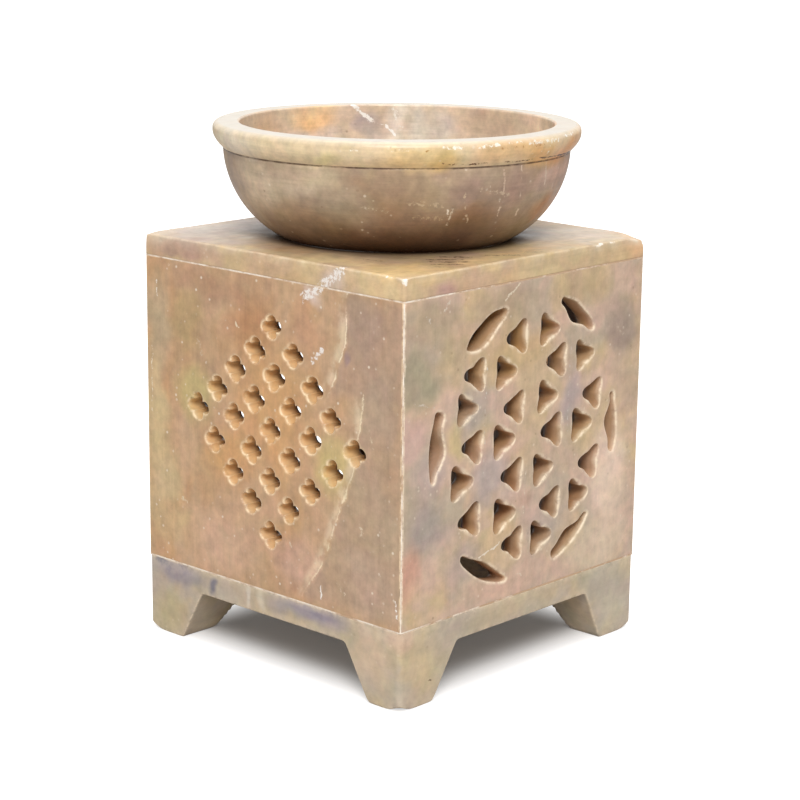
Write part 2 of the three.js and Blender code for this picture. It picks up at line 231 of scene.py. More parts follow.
def soapstone(
    name, block, tones, lay=(1, 1, 1), grounds=(), clouds=(), veins=(), scratches=(), saw=(1, 1, 1),
    streak=0.1, mottle=0.12, talc=0.2, polish=0.42, paints=(RUBBED_AND_HIGHLIT, SOOT_AND_SHADE),
):
    """Honed and waxed soapstone. To the eye it is a soft, half-matt ground that drifts between several warm
    tones in patches 10 to 26 mm across, drawn out along the bed of the stone (lay), with clouds where the
    block had them, threads of talc, a faint mottle, pale specks, saw or lathe streaks, chalky bruises, and
    paler rubbed edges, whose pallor is partly a painted highlight. Some clouds, grounds and paints of a piece
    stand for painted shade and painted light, as its comments say. block sets the pattern apart from the
    other pieces. A ground is (attribute, hex, strength), a cloud (middle, radii, hex, strength), a vein
    (points of z and u, u axis, hex, strength, hex beyond it), a scratch (points, width, hex, strength), a
    paint (attribute, hex, strength, patch), in mm."""
    material, node, shader, links = blank_material(name)
    mm = node("VectorMath:MULTIPLY", node("TexCoord", out="Object"), (1000.0,) * 3)
    bed = node("VectorMath:ADD", mm, BLOCK_STEP * block)
    drift = node("TexNoise", bed, 1 / DRIFT_SIZE, 3.0, 0.5, out="Color")
    drift = node("VectorMath:MULTIPLY_ADD", drift, (2 * DRIFT,) * 3, (-DRIFT,) * 3)
    bent = node("VectorMath:ADD", mm, drift)

    # The ground drifts between the tones; skins of the block and clouds lie over it.
    colour = linear(tones[0])
    for step, (code, size) in enumerate(zip(tones[1:], PATCH_SIZES), 1):
        patch = node("VectorMath:MULTIPLY_ADD", bent, lay, BLOCK_STEP * block + TONE_STEP * step)
        patch = node("TexNoise", patch, 1 / size, 3.0, 0.5)
        part = node(SOFT, patch, 0.4, 0.62, 0.0, 0.85)
        colour = node(BLEND, part, colour, linear(code))
    for label, code, strength in grounds:
        part = node("Attribute", out="Fac", attribute_name=label)
        part = node("Math:MULTIPLY", part, strength)
        colour = node(BLEND, part, colour, linear(code))
    for middle, radii, code, strength in clouds:
        away = node("VectorMath:DIVIDE", node("VectorMath:SUBTRACT", bent, middle), radii)
        part = node(SOFT, node("VectorMath:LENGTH", away), 1.15, 0.3, 0.0, strength)
        colour = node(BLEND, part, colour, linear(code))

    # A vein is a curve of u over z: a broken pale thread with a paler band before it and another tone beyond.
    for course, axis, pale, strength, beyond in veins:
        u = node("VectorMath:DOT_PRODUCT", mm, axis)
        z = node("SeparateXYZ", mm, out="Z")
        spots = np.array(course, float) / (VEIN_TALL, VEIN_WIDE) + (0.0, 0.5)
        run = node("FloatCurve", 1.0, node("Math:DIVIDE", z, VEIN_TALL))
        curve = run.node.mapping.curves[0]
        for spot in spots[1:-1]:
            curve.points.new(*spot)
        curve.points[0].location, curve.points[-1].location = spots[0], spots[-1]
        run.node.mapping.update()
        run = node("Math:MULTIPLY_ADD", run, VEIN_WIDE, -VEIN_WIDE / 2 - VEIN_WANDER / 2)
        run = node("Math:MULTIPLY_ADD", node("TexNoise", bed, 1 / VEIN_SIZE, 6.0, 0.65), VEIN_WANDER, run)
        past = node("Math:SUBTRACT", u, run)
        first, last = course[0][0], course[-1][0]
        lower = node(SOFT, z, first, first + VEIN_END)
        ends = node("Math:MULTIPLY", lower, node(SOFT, z, last, last - VEIN_END))
        part = node("Math:MULTIPLY", ends, node(SOFT, past, 0.0, 1.2, 0.0, 0.6))
        colour = node(BLEND, part, colour, linear(beyond))
        band = node("Math:ABSOLUTE", node("Math:ADD", past, 0.9))
        band = node(SOFT, band, 2.0, 0.1, 0.0, 0.5)
        thread = node(SOFT, node("Math:ABSOLUTE", past), 0.4, 0.05)
        broken = node("TexNoise", bed, 1 / VEIN_BREAK, 4.0)
        broken = node("Math:MULTIPLY", ends, node(SOFT, broken, 0.34, 0.55, 0.0, strength))
        part = node("Math:MULTIPLY", broken, node("Math:MAXIMUM", band, thread))
        colour = node(BLEND, part, colour, linear(pale))

    # Mottle, streaks of the saw or the lathe, and a slow change of tint.
    fine = node("TexNoise", bed, 1 / MOTTLE_SIZE, 6.0, 0.62)
    rows = node("VectorMath:MULTIPLY", bed, saw)
    sawn = node("TexNoise", rows, 1 / SAW_SIZE, 5.0, 0.75)
    band = node("TexNoise", rows, 1 / BAND_SIZE, 3.0, 0.6)
    shade = node("Math:MULTIPLY_ADD", fine, 4 * mottle, 1 - 2 * mottle - 3 * streak)
    shade = node("Math:MULTIPLY_ADD", sawn, 3 * streak, shade)
    shade = node("Math:MULTIPLY_ADD", band, 3 * streak, shade)
    colour = node("VectorMath:SCALE", colour, shade)
    tint = node("TexNoise", bent, 1 / TINT_SIZE, 6.0, 0.62, out="Color")
    tint = node("VectorMath:MULTIPLY_ADD", tint, (TINT,) * 3, (1 - TINT / 2,) * 3)
    colour = node("VectorMath:MULTIPLY", colour, tint)

    # Specks in groups, most of them pale talc and some brown grit.
    cells = node("TexVoronoi", bed, 1 / SPECK_SIZE, out="Distance")
    some = node(SOFT, node("TexNoise", bent, 1 / SPECK_GROUP, 5.0, 0.7), 0.46, 0.62)
    specks = node("Math:MULTIPLY", node(SOFT, cells, 0.2, 0.08, 0.0, talc), some)
    kind = node("VectorMath:DOT_PRODUCT", cells.node.outputs["Color"], (1.0, 0.0, 0.0))
    chip = node(BLEND, node(SOFT, kind, 0.6, 0.7), linear(TALC), linear(GRIT))
    colour = node(BLEND, specks, colour, chip)

    # Scratches, drips and bruises: the distance from a ragged point to a broken line, crumbled at its edge.
    ragged = node("TexNoise", bed, 1 / RAGGED_SIZE, 4.0, 0.6, out="Color")
    ragged = node("VectorMath:MULTIPLY_ADD", ragged, (2 * RAGGED,) * 3, (-RAGGED,) * 3)
    ragged = node("VectorMath:ADD", mm, ragged)
    for course, width, code, strength in scratches:
        away = 1e3
        for start, run in zip(course, np.diff(course, axis=0)):
            past = node("VectorMath:SUBTRACT", ragged, start)
            t = node("VectorMath:DOT_PRODUCT", past, run / (run @ run))
            t = node("Math:ADD", t, 0.0, use_clamp=True)
            near = node("VectorMath:SUBTRACT", node("VectorMath:SCALE", run, t), past)
            away = node("Math:MINIMUM", node("VectorMath:LENGTH", near), away)
        part = node(SOFT, away, 1.15 * width, 0.1 * width, 0.0, 0.5 * strength)
        part = node("Math:ADD", part, node("TexNoise", bed, 1 / CRUST_SIZE, 6.0, 0.75))
        colour = node(BLEND, node(SOFT, part, 0.74, 0.84), colour, linear(code))

    # Marks painted on the mesh: rubbed edges, partly a painted highlight; hole walls; soot, partly painted
    # shade. Last come the wax and the tool marks' relief.
    for label, code, strength, patch in paints:
        part = node("Attribute", out="Fac", attribute_name=label)
        if patch:
            broken = node("TexNoise", bed, 1 / patch, 5.0, 0.65)
            part = node("Math:MULTIPLY", part, node(SOFT, broken, 0.36, 0.6))
        part = node("Math:MULTIPLY", part, strength)
        colour = node(BLEND, part, colour, linear(code))
    links.new(colour, shader["Base Color"])
    wax = node("TexNoise", bed, 1 / WAX_SIZE, 5.0)
    links.new(node("MapRange", wax, 0.3, 0.7, polish - 0.08, polish + 0.12), shader["Roughness"])
    height = node("Math:MULTIPLY_ADD", sawn, 6 * streak, node("Math:MULTIPLY_ADD", specks, -0.8, fine))
    links.new(node("Bump", Strength=0.3, Distance=0.0002, Height=height), shader["Normal"])
    shader["IOR"].default_value = SOAPSTONE_IOR
    return material


base_points, base_faces, base_wear = base_block()
base = stone_piece("carved_base_block", base_points, base_faces, wear=base_wear)
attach(base, "burner_box")
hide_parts("base_with_feet")
base_clouds = [
    ((-38, 29, 14.8), (7, 13, 3.4), "#958b90", 0.95),
    ((-38, 17, 14.0), (4, 1.6, 2.4), "#77737f", 0.9),
    ((-38, 34, 15.5), (4, 3, 1.4), "#7f7b86", 0.8),
    ((-38, 8, 14.5), (5, 7, 3.2), "#bca997", 0.6),
    ((-38, 5.5, 14.8), (4, 1.2, 3), "#d6c9b8", 0.75),
    ((-38, 0.5, 14.8), (4, 1.5, 3), "#d2c4b2", 0.65),
    ((-38, -12, 14.8), (7, 12, 3.3), "#a0949a", 0.95),
    ((-38, -16, 15.2), (4, 4, 1.6), "#8d8490", 0.7),
    ((-37, -30, 10), (5, 7, 9), "#d4ba9a", 0.75),
    ((-37, -37, 15), (4, 4, 3), "#d8b49a", 0.75),
    ((-30, -38, 6), (8, 5, 7), "#d3be98", 0.75),
    ((-22, -38, 14), (8, 5, 4), "#b9a995", 0.5),
    ((0, -38, 15), (20, 6, 4), "#ccb796", 0.75),
    ((28, -38, 14), (10, 6, 5), "#b4a894", 0.75),
    ((32, -38, 6), (8, 6, 7), "#c6bca6", 0.75),
    ((-38, 31, 5), (6, 9, 7), "#bdac82", 0.7),
]
# Olive soapstone, sawn: dull and greenish, with blue-grey bands along its upper edge and buff corners.
base.data.materials.append(soapstone(
    "olive_soapstone", 1, ("#c3b194", "#c9b390", "#b6a78e", "#b9aa9a"), clouds=base_clouds,
    scratches=[([(-29.5, -38.2, 4.8), (-29.2, -38.2, 4.9)], 0.45, "#86705a", 0.75)], saw=(0.08, 0.08, 1),
    streak=0.06, mottle=0.15,
))


# LOWER CEMENT BED
# Pale stone-dust cement spread on the base under the walls, three tenths of a millimetre thick and wiped
# flush. Stone dust has settled in it, so that the line comes and goes.


DUST_SIZE, SAND_SIZE = 4, 0.4
CHALK, DUST = "#f4e7d6", "#cbab8c"


def stone_cement(name):
    """Matt lime-pale cement: chalk white, stained to the colour of the stone dust in patches 4 mm long, the
    more so the farther it lies to the right, with a sandy grain."""
    material, node, shader, links = blank_material(name)
    mm = node("VectorMath:MULTIPLY", node("TexCoord", out="Object"), (1000.0,) * 3)
    dust = node(SOFT, node("SeparateXYZ", mm), -30.0, 0.0, 0.0, 0.17)
    dust = node("Math:ADD", node("TexNoise", mm, 1 / DUST_SIZE, 5.0, 0.65), dust)
    stain = node("MapRange", dust, 0.44, 0.64)
    links.new(node(BLEND, stain, linear(CHALK), linear(DUST)), shader["Base Color"])
    sand = node("TexNoise", mm, 1 / SAND_SIZE, 3.0)
    links.new(node("Bump", Strength=0.5, Distance=0.0001, Height=sand), shader["Normal"])
    shader["Roughness"].default_value = 0.8
    return material


def lay_cement(cement, *joints):
    """Gives solids of the frame the cement's material in place of their own."""
    for joint in joints:
        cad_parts[joint].data.materials.clear()
        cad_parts[joint].data.materials.append(cement)


cement = stone_cement("pale_stone_cement")
lay_cement(cement, "lower_cement_bed")


# FRONT ROUNDEL PANEL
# A wall of sawn soapstone, pierced by hand with drill and file: a hexagon of triangles with drawn-in sides
# and a crescent on each side of it. Its ends are mitred and its arrises lightly rubbed.

PANEL_LOW, PANEL_HIGH = 17.25, 84.35
PANEL_MIDDLE = (PANEL_LOW + PANEL_HIGH) / 2
PANEL_THICK = 5.2
ARRIS, BED_EDGE, ARCH_EDGE = 0.65, 0.12, 0.6
CEMENT_GAP = 0.3


def wall_edge(u, z, end, top, cut=None):
    """Rings carried round the outline of a wall, from its outer face to its inner face. Points with end
    -1 or 1 follow the rounded arris and then the mitre; points with top -1 or 1 follow a small round at
    the bed joint; points with a cut direction, on an arch, follow a rubbed edge at both faces."""
    turn = np.linspace(0, np.pi / 4 - np.arcsin(CEMENT_GAP / (2 * ARRIS)), 5)
    inner = [0.4, 0.8, PANEL_THICK - 0.5, PANEL_THICK - 0.15, PANEL_THICK]
    depth = np.concatenate([ARRIS * (1 - np.cos(turn)), inner])
    arris = HALF - ARRIS + ARRIS * np.sin(turn)
    mitre = arris[-1] + depth[4] - depth[5:]
    bed, rub = BED_EDGE, ARCH_EDGE
    reach = np.concatenate([arris, mitre])[:, None] - HALF
    settle = -bed * (1 - np.sqrt(1 - (1 - (depth / bed).clip(0, 1)) ** 2))[:, None]
    front = (1 - np.sqrt(1 - (1 - (depth / rub).clip(0, 1)) ** 2))[:, None]
    behind = (1 - np.sqrt(1 - (1 - ((PANEL_THICK - depth) / rub).clip(0, 1)) ** 2))[:, None]
    sunk = np.broadcast_to(depth[:, None], (len(depth), len(u)))
    rings = np.stack([u + reach * end, z + settle * top, sunk], -1)
    if cut is not None:
        rings[..., :2] += (rub * (front + behind))[..., None] * cut
    return rings


def wall_outline(steps=40):
    """Corner to corner round a rectangular wall, with which points lie on an end and which on a bed joint."""
    t = np.linspace(-1, 1, steps, endpoint=False)
    one = np.ones(steps)
    a, b = np.concatenate([t, one, -t, -one]), np.concatenate([-one, t, one, -t])
    end, top = np.where(np.abs(a) == 1, a, 0), np.where(np.abs(b) == 1, b, 0)
    return a * HALF, PANEL_MIDDLE + b * (PANEL_HIGH - PANEL_LOW) / 2, end, top


# Rings of a hole, as distance outside its rim and depth in the stone, and the marks on each ring.
RIM_STEPS = np.array(
    [(0.8, 0), (0.4, 0), (0.25, 0.06), (0.1, 0.19), (0, 0.4)]
    + [(0, 1.5), (-0.03, 2.6), (0, 3.6), (0.12, 4.5), (0.4, 5.2)]
)
# The pale wear on the rim rings and wall edges is partly a painted highlight along each edge.
# The soot on the deepest rings and on the inner face is partly painted shade of the inside of the box.
RIM_MARKS = {
    "wear": (0, 0.5, 1, 1, 0.5, 0, 0, 0, 0, 0),
    "soot": (0, 0, 0, 0, 0, 0, 0, 0.05, 0.25, 1),
    "hole_wall": (0, 0, 0, 0, 0.5, 1, 1, 1, 0.8, 0),
}
EDGE_MARKS = {
    "wear": (0, 0.4, 0.8, 0.9, 0.9, 0, 0, 0, 0, 0),
    "soot": (0, 0, 0, 0, 0, 0, 0, 0, 1, 1),
    "hole_wall": (0, 0, 0, 0, 0, 0, 0, 0, 0, 0),
}


def pierced_wall(outlines):
    """A wall with holes. outlines are functions of the distance outside the rim of the hole and of the
    depth, each giving the points of a family of holes; rings at RIM_STEPS make a worn rim, a filed wall
    and the broken-out inner rim. Both faces are filled between the rings without moving a point, and a
    triangle whose middle lies inside a rim, by the crossings of a line from it, is left out."""
    edge = wall_edge(*wall_outline())
    count = edge[..., 0].size
    blocks, faces = [edge.reshape(-1, 3)], grid_faces(numbered(edge))
    paint = {label: [np.repeat(marks, edge.shape[1])] for label, marks in EDGE_MARKS.items()}
    loops = [[edge[0, :, :2]], [edge[-1, :, :2]]]
    for outline in outlines:
        rings = np.stack([outline(distance, depth) for distance, depth in RIM_STEPS])
        depth = np.broadcast_to(RIM_STEPS[:, 1, None, None], rings.shape[:3])
        faces += grid_faces(count + numbered(rings))
        count += depth.size
        blocks.append(np.concatenate([rings, depth[..., None]], -1).reshape(-1, 3))
        for label, marks in RIM_MARKS.items():
            paint[label].append(np.repeat(marks, depth[0].size))
        loops[0] += list(rings[0])
        loops[1] += list(rings[-1])
    # The inner face is painted dark all over: soot and painted shade of the inside of the box.
    for rims, depth, dark in zip(loops, (0, PANEL_THICK), (0, 1)):
        sizes = np.array([len(rim) for rim in rims])
        links = [np.stack([np.arange(n), np.roll(np.arange(n), -1)], -1) for n in sizes]
        edges = np.concatenate([link + begin for link, begin in zip(links, np.cumsum(sizes) - sizes)])
        made = delaunay_2d_cdt(np.concatenate(rims).tolist(), edges.tolist(), [], 1, 1e-7)
        corners, triangles = np.array(made[0]), np.array(made[2])
        middle = corners[triangles].mean(1)
        hollow = np.zeros(len(middle), bool)
        for rim in rims[1:]:
            near = np.roll(rim, -1, 0)
            over = (rim[:, 1] > middle[:, None, 1]) != (near[:, 1] > middle[:, None, 1])
            slope = (near[:, 0] - rim[:, 0]) / (near[:, 1] - rim[:, 1] + 1e-12)
            cross = rim[:, 0] + (middle[:, None, 1] - rim[:, 1]) * slope
            hollow |= (over & (middle[:, None, 0] < cross)).sum(1) % 2 == 1
        faces += (triangles[~hollow] + count).tolist()
        blocks.append(np.column_stack([corners, np.full(len(corners), depth)]))
        for label, runs in paint.items():
            runs.append(np.full(len(corners), dark if label == "soot" else 0))
        count += len(corners)
    return np.concatenate(blocks), faces, {label: np.concatenate(runs) for label, runs in paint.items()}


def stand(points, quarters):
    """Sets a wall drawn as (across, up, depth) round the box: nought is the front, then left, back, right."""
    across, up, depth = np.asarray(points).T
    x, y = across, depth - HALF
    for _ in range(quarters):
        x, y = y, -x
    return np.stack([x, y, up], -1)


def tilted(points, degrees, middle):
    """Turns a drawn pattern about its middle, as the mason's template sat on the stone."""
    c, s = np.cos(np.radians(degrees)), np.sin(np.radians(degrees))
    return points @ np.array([[c, s], [-s, c]]) + middle


ROUND_ANGLES = np.linspace(0, 2 * np.pi, 72, endpoint=False)
SHAPE_FADE = 1.1
HOLE_WANDER, CRESCENT_WANDER = 0.05, 0.06
SLIP = 0.1


def hand_wobble(rng, holes, amount):
    """A few slow waves round each hole with random phases: the file never follows the drawn line."""
    waves = np.arange(2, 8)
    phase = rng.uniform(0, 2 * np.pi, (holes, len(waves), 1))
    size = amount * rng.normal(size=(holes, len(waves), 1)) / waves[:, None] ** 0.7
    return (size * np.cos(waves[:, None] * ROUND_ANGLES + phase)).sum(1)


def filed_holes(centres, turns, sizes, shape, wobble, stretch=(1, 1)):
    """Holes given by shape, a radius at each angle, times the size of the hole. Outside the rim the shape
    dies away towards its mean radius, so the rings grow rounder; inside, the wobble grows with depth."""

    def outline(distance, depth):
        fade = np.exp(-max(distance, 0) / SHAPE_FADE)
        reach = sizes[:, None] * (shape.mean() + fade * (shape - shape.mean() + wobble)) + distance
        reach = reach + HOLE_WANDER * depth * np.roll(wobble, 11, axis=1)
        angle = ROUND_ANGLES + turns[:, None]
        return centres[:, None] + reach[..., None] * np.stack([np.cos(angle), np.sin(angle)], -1) * stretch

    return outline


ROUNDEL_MIDDLE = (0.9, PANEL_MIDDLE)
ROUNDEL_TILT = -2.5
HEXAGON = 30.0
TRIANGLE_RADIUS, TRIANGLE_WAVES = 2.95, {3: 0.94, 6: 0.19, 9: 0.04}
TRIANGLE_TURN, TRIANGLE_SPREAD = 3, 0.03
TRIANGLE_WOBBLE, CRESCENT_WOBBLE = 0.1, 0.08
TRIANGLE_SLIPS = np.array(
    [(-3, -1), (0, 7), (-4, 2), (8, 8), (-6, 2), (8, 0), (9, -7), (-4, 0), (-3, 3), (-8, -5)]
    + [(-6, -2), (-9, -7), (3, 2), (-4, -4), (-1, 0), (-9, 6), (3, 6), (-6, 5), (-2, 0), (-6, 2)]
    + [(-8, -7), (-7, 7), (-9, -5), (-8, 9)]
)


def triangle_places():
    """Middles of the unit triangles of a hexagon with two triangles to a side, and which way each points."""
    side = HEXAGON / 2
    column = side * np.sqrt(3) / 2
    k, j = (v.ravel() for v in np.meshgrid(np.arange(-2, 2), np.arange(-4, 5), indexing="ij"))
    right = (j + k) % 2 == 1
    x, z = (k + np.where(right, 1, 2) / 3) * column, j * side / 2
    kept = np.abs(z) + np.abs(x) / np.sqrt(3) < HEXAGON
    return np.stack([x, z], -1)[kept], np.where(right, 0, np.pi)[kept]


CRESCENT_RUNS = np.array(
    [(-0.31, 6.69), (0.36, 6.53), (1.14, 6.87), (-1.55, 7.28), (2.06, 8.11), (1.35, 6.9)]
)
CRESCENT_EVEN = np.array(
    [(27.77, -0.51, 0.2, 0.01, -0.14, -0.07, 0.13), (28.45, 0.29, -0.01, 0.08, -0.12, -0.05, 0.07)]
    + [(28.6, -0.23, -0.02, 0.19, -0.01, -0.07, 0.04), (29.31, 0.48, 0.13, 0.09, -0.02, -0.22, 0.07)]
    + [(29.53, -0.6, -0.25, 0.0, -0.06, 0.01, 0.02), (28.14, -0.47, -0.07, -0.1, -0.07, 0.08, 0.08)]
)
CRESCENT_ODD = np.array(
    [(1.59, -0.18, -0.11, 0.02, 0.23, 0.07), (1.72, 0.08, -0.08, -0.07, 0.13, 0.11)]
    + [(2.09, 0.13, -0.07, -0.12, -0.01, -0.04), (1.91, -0.08, -0.04, -0.27, 0.16, 0.07)]
    + [(1.56, -0.06, -0.08, -0.04, 0.08, -0.01), (1.61, -0.24, 0.01, 0.01, 0.15, -0.06)]
)


def crescent_holes(wobble):
    """Crescents between hexagon and circle. Along its side each runs as a cosine; across it, a short series
    of cosines and sines gives the blunt ends and the filed hollows. Rings lie off it along its normals."""
    middle, half = CRESCENT_RUNS.T[..., None]
    along = middle + half * np.cos(ROUND_ANGLES)
    across = CRESCENT_EVEN @ np.cos(np.arange(7)[:, None] * ROUND_ANGLES)
    across += CRESCENT_ODD @ np.sin(np.arange(1, 7)[:, None] * ROUND_ANGLES)
    angle = (np.arange(6) * np.pi / 3)[:, None]
    x, z = across * np.cos(angle) - along * np.sin(angle), across * np.sin(angle) + along * np.cos(angle)
    rim = tilted(np.stack([x, z], -1), ROUNDEL_TILT, ROUNDEL_MIDDLE)
    run = np.roll(rim, -1, 1) - np.roll(rim, 1, 1)
    off = unit(run)[..., ::-1] * (1, -1)
    off *= np.sign((off * (rim - rim.mean(1, keepdims=True))).sum((1, 2)))[:, None, None]

    def outline(distance, depth):
        return rim + (distance + CRESCENT_WANDER * depth * wobble)[..., None] * off

    return outline


mason = np.random.default_rng(24)
triangle_middles, triangle_turns = triangle_places()
triangle_count = len(triangle_middles)
triangles = filed_holes(
    tilted(triangle_middles, ROUNDEL_TILT, ROUNDEL_MIDDLE) + TRIANGLE_SLIPS * SLIP,
    triangle_turns + np.radians(ROUNDEL_TILT + mason.normal(0, TRIANGLE_TURN, triangle_count)),
    mason.normal(1.0, TRIANGLE_SPREAD, triangle_count),
    TRIANGLE_RADIUS + sum(height * np.cos(wave * ROUND_ANGLES) for wave, height in TRIANGLE_WAVES.items()),
    hand_wobble(mason, triangle_count, TRIANGLE_WOBBLE),
)
crescents = crescent_holes(hand_wobble(mason, len(CRESCENT_RUNS), CRESCENT_WOBBLE))
front_points, front_faces, front_paint = pierced_wall([triangles, crescents])
front = stone_piece("front_roundel_wall", stand(front_points, 0), front_faces, **front_paint)
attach(front, "burner_box")
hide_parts("front_roundel_panel")
front_clouds = [
    ((-30, -38, 79), (11, 6, 6), "#b39c80", 0.85),
    ((-34, -38, 69), (8, 6, 7), "#a1967f", 0.85),
    ((-22, -38, 72), (6, 6, 6), "#b7a27e", 0.7),
    ((-35, -38, 57), (6, 6, 8), "#d0ac9e", 0.85),
    ((-31, -38, 48), (6, 6, 5), "#b9a59d", 0.7),
    ((-8, -38, 79), (14, 6, 6), "#b19a7d", 0.8),
    ((-4, -38, 70), (16, 6, 7), "#caac7c", 0.8),
    ((18, -38, 80), (12, 6, 5), "#b9a07a", 0.75),
    ((31, -38, 70), (7, 6, 10), "#a28d7e", 0.9),
    ((34, -38, 56), (5, 6, 6), "#bfa58c", 0.7),
    ((-17, -38, 60), (6, 3.6, 5), "#b2a496", 0.8),
    ((-23, -38, 54), (4, 6, 4.5), "#d2b983", 0.7),
    ((-12, -38, 44), (7, 3.6, 8), "#b8a6a0", 0.85),
    ((4, -38, 60), (9, 6, 8), "#caae8a", 0.7),
    ((14, -38, 58), (4, 3.6, 9), "#ab9d9c", 0.7),
    ((20, -38, 48), (5, 6, 5), "#cdb487", 0.7),
    ((-31, -38, 38), (8, 6, 8), "#a8998e", 0.95),
    ((-36.5, -38, 28.5), (5, 6, 8.5), "#d2a088", 0.9),
    ((-20, -38, 28), (7, 6, 6), "#b5a196", 0.7),
    ((-6, -38, 20), (18, 6, 4), "#d2b09a", 0.8),
    ((6, -38, 30), (9, 6, 5), "#bba89c", 0.7),
    ((28, -38, 38), (9, 6, 15), "#e8cdb6", 0.95),
    ((24, -38, 23), (13, 6, 7), "#dac3a8", 0.85),
    ((2, -34.6, 72), (26, 2.4, 13), "#c6a65e", 0.65),
    ((0, -34.2, 53), (28, 2.6, 13), "#94693f", 0.65),
    ((-6, -34.2, 32), (32, 2.6, 17), "#854f36", 0.85),
    ((16, -34.2, 44), (12, 2.6, 16), "#8c5c40", 0.65),
]
front_scratches = [
    ([(-14.7, -38.2, 27.8), (-8.4, -38.2, 29.7)], 0.45, "#e6d8c4", 0.85),
    ([(-7.9, -38.2, 81.1), (-3.6, -38.2, 84.0)], 0.5, "#dccdb4", 0.7),
    ([(-26.5, -38.2, 81.5), (-25.0, -38.2, 83.0)], 1.0, "#d8cbb8", 0.5),
    ([(-35.5, -38.2, 64.0), (-29.0, -38.2, 62.0)], 0.4, "#cfc2b0", 0.6),
    ([(-31.4, -38.2, 80.8), (-30.0, -38.2, 79.2)], 1.0, "#cfc2b0", 0.52),
    ([(29.6, -38.2, 70.2), (31.4, -38.2, 68.6)], 1.0, "#c4b29c", 0.5),
    ([(-2.4, -38.2, 21.4), (-0.4, -38.2, 20.8)], 0.8, "#e0d0bc", 0.52),
    ([(-13.4, -38.2, 68.0), (-13.8, -38.2, 46.0)], 0.5, "#cfc6ba", 0.5),
    ([(-0.3, -38.2, 46.0), (-0.9, -38.2, 31.0)], 0.5, "#dccdb8", 0.52),
    ([(13.6, -38.2, 68.0), (13.2, -38.2, 50.0)], 0.5, "#c9bfb6", 0.5),
]
# Grey-cream soapstone, sawn upright and filed: pale and cloudy, pink low down, the filed holes tan inside.
front.data.materials.append(soapstone(
    "grey_cream_soapstone", 2, ("#c9af90", "#d2b58b", "#baa894", "#d1b19c"), clouds=front_clouds,
    scratches=front_scratches, saw=(1, 1, 0.05), streak=0.07, mottle=0.18, talc=0.4,
    paints=(("hole_wall", "#c09264", 0.55, 0), RUBBED_AND_HIGHLIT, SOOT_AND_SHADE),
))


# LEFT AND RIGHT LATTICE PANELS
# Two like walls of pink soapstone, each pierced with a square of quatrefoils standing on its corner. The
# holes were drilled at four places and opened with a round file. Pale threads of talc run down the left one.

LATTICE_MIDDLE = (1.1, 52.4)
LATTICE_TILT = -1.6
LATTICE_SIDE, LATTICE_STEP = 5, (5.77, 5.53)
LATTICE_TURN, LATTICE_SPREAD, LATTICE_WOBBLE = 4, 0.04, 0.13
LOBE_OFFSET, LOBE_RADIUS, LOBE_STRETCH = 1.63, 1.26, (1.04, 0.95)
LEFT_SLIPS = np.array(
    [(2, -6), (-1, -1), (0, -5), (-1, -1), (3, 6), (-3, 4), (-3, 0), (-3, 0), (0, 7), (5, 2)]
    + [(1, 4), (-3, 1), (-5, -2), (2, 0), (2, -1), (5, 1), (-2, 1), (-4, -3), (4, 2), (3, -5)]
    + [(8, 1), (-4, 0), (0, -2), (0, 3), (-7, -3)]
)


def lattice_holes(rng, slips):
    """Five by five quatrefoils: the sum of the two counts gives the height and the difference the place
    across, each with the slip of the drill in tenths of a millimetre. The radius at an angle reaches to the
    far side of the nearest of four circles: d cos a + sqrt(r*r - d*d sin a sin a), with a from its axis."""
    i, j = np.indices((LATTICE_SIDE, LATTICE_SIDE)).reshape(2, -1)
    middles = np.stack([i - j, i + j + 1 - LATTICE_SIDE], -1) * LATTICE_STEP
    centres = tilted(middles, LATTICE_TILT, LATTICE_MIDDLE) + slips * SLIP
    off = (ROUND_ANGLES + np.pi / 4) % (np.pi / 2) - np.pi / 4
    shape = LOBE_OFFSET * np.cos(off) + np.sqrt(LOBE_RADIUS**2 - (LOBE_OFFSET * np.sin(off)) ** 2)
    turns = np.radians(rng.normal(0, LATTICE_TURN, len(centres)))
    sizes = rng.normal(1.0, LATTICE_SPREAD, len(centres))
    wobble = hand_wobble(rng, len(centres), LATTICE_WOBBLE)
    return filed_holes(centres, turns, sizes, shape, wobble, LOBE_STRETCH)


left_clouds = [
    ((-38, 16, 81), (6, 18, 5), "#b48d6d", 0.8),
    ((-38, 34, 70), (6, 6, 14), "#bca583", 0.8),
    ((-38, 36, 50), (6, 5, 16), "#d2b98a", 0.8),
    ((-38, 25, 72), (6, 6, 8), "#b3996c", 0.8),
    ((-38, 26, 44), (6, 6, 9), "#c9a583", 0.7),
    ((-38, 5, 73), (6, 9, 9), "#b78358", 0.8),
    ((-38, -12, 76), (6, 6, 8), "#c59878", 0.5),
    ((-38, -1, 57), (6, 17, 17), "#d1a06c", 0.85),
    ((-38, 12, 44), (6, 9, 9), "#d39e66", 0.75),
    ((-38, -19, 48), (6, 7, 7), "#cab579", 0.9),
    ((-38, 22, 56), (6, 7, 7), "#c2af76", 0.8),
    ((-38, 33, 34), (6, 7, 10), "#ceb68a", 0.8),
    ((-38, 14, 25), (6, 17, 8), "#cfa98c", 0.8),
    ((-38, -10, 25), (6, 9, 8), "#cda58e", 0.85),
    ((-38, 29, 26), (6, 9, 6), "#c9ab7e", 0.7),
    ((-38, -22.3, 69.3), (3, 1.3, 1.8), "#8d7284", 0.85),
    ((-38, -27, 77), (6, 8, 8), "#ae927e", 0.8),
    ((-38, -31, 63), (6, 7, 10), "#b8a085", 0.8),
    ((-38, -30, 44), (6, 7, 9), "#c2a486", 0.7),
    ((-38, -29, 26), (6, 9, 9), "#cdad96", 0.8),
    ((-38, -34, 36), (6, 4, 7), "#c9b290", 0.6),
    ((-38, -13.2, 83.4), (3, 4.2, 2.6), "#d8c2b8", 0.8),
]
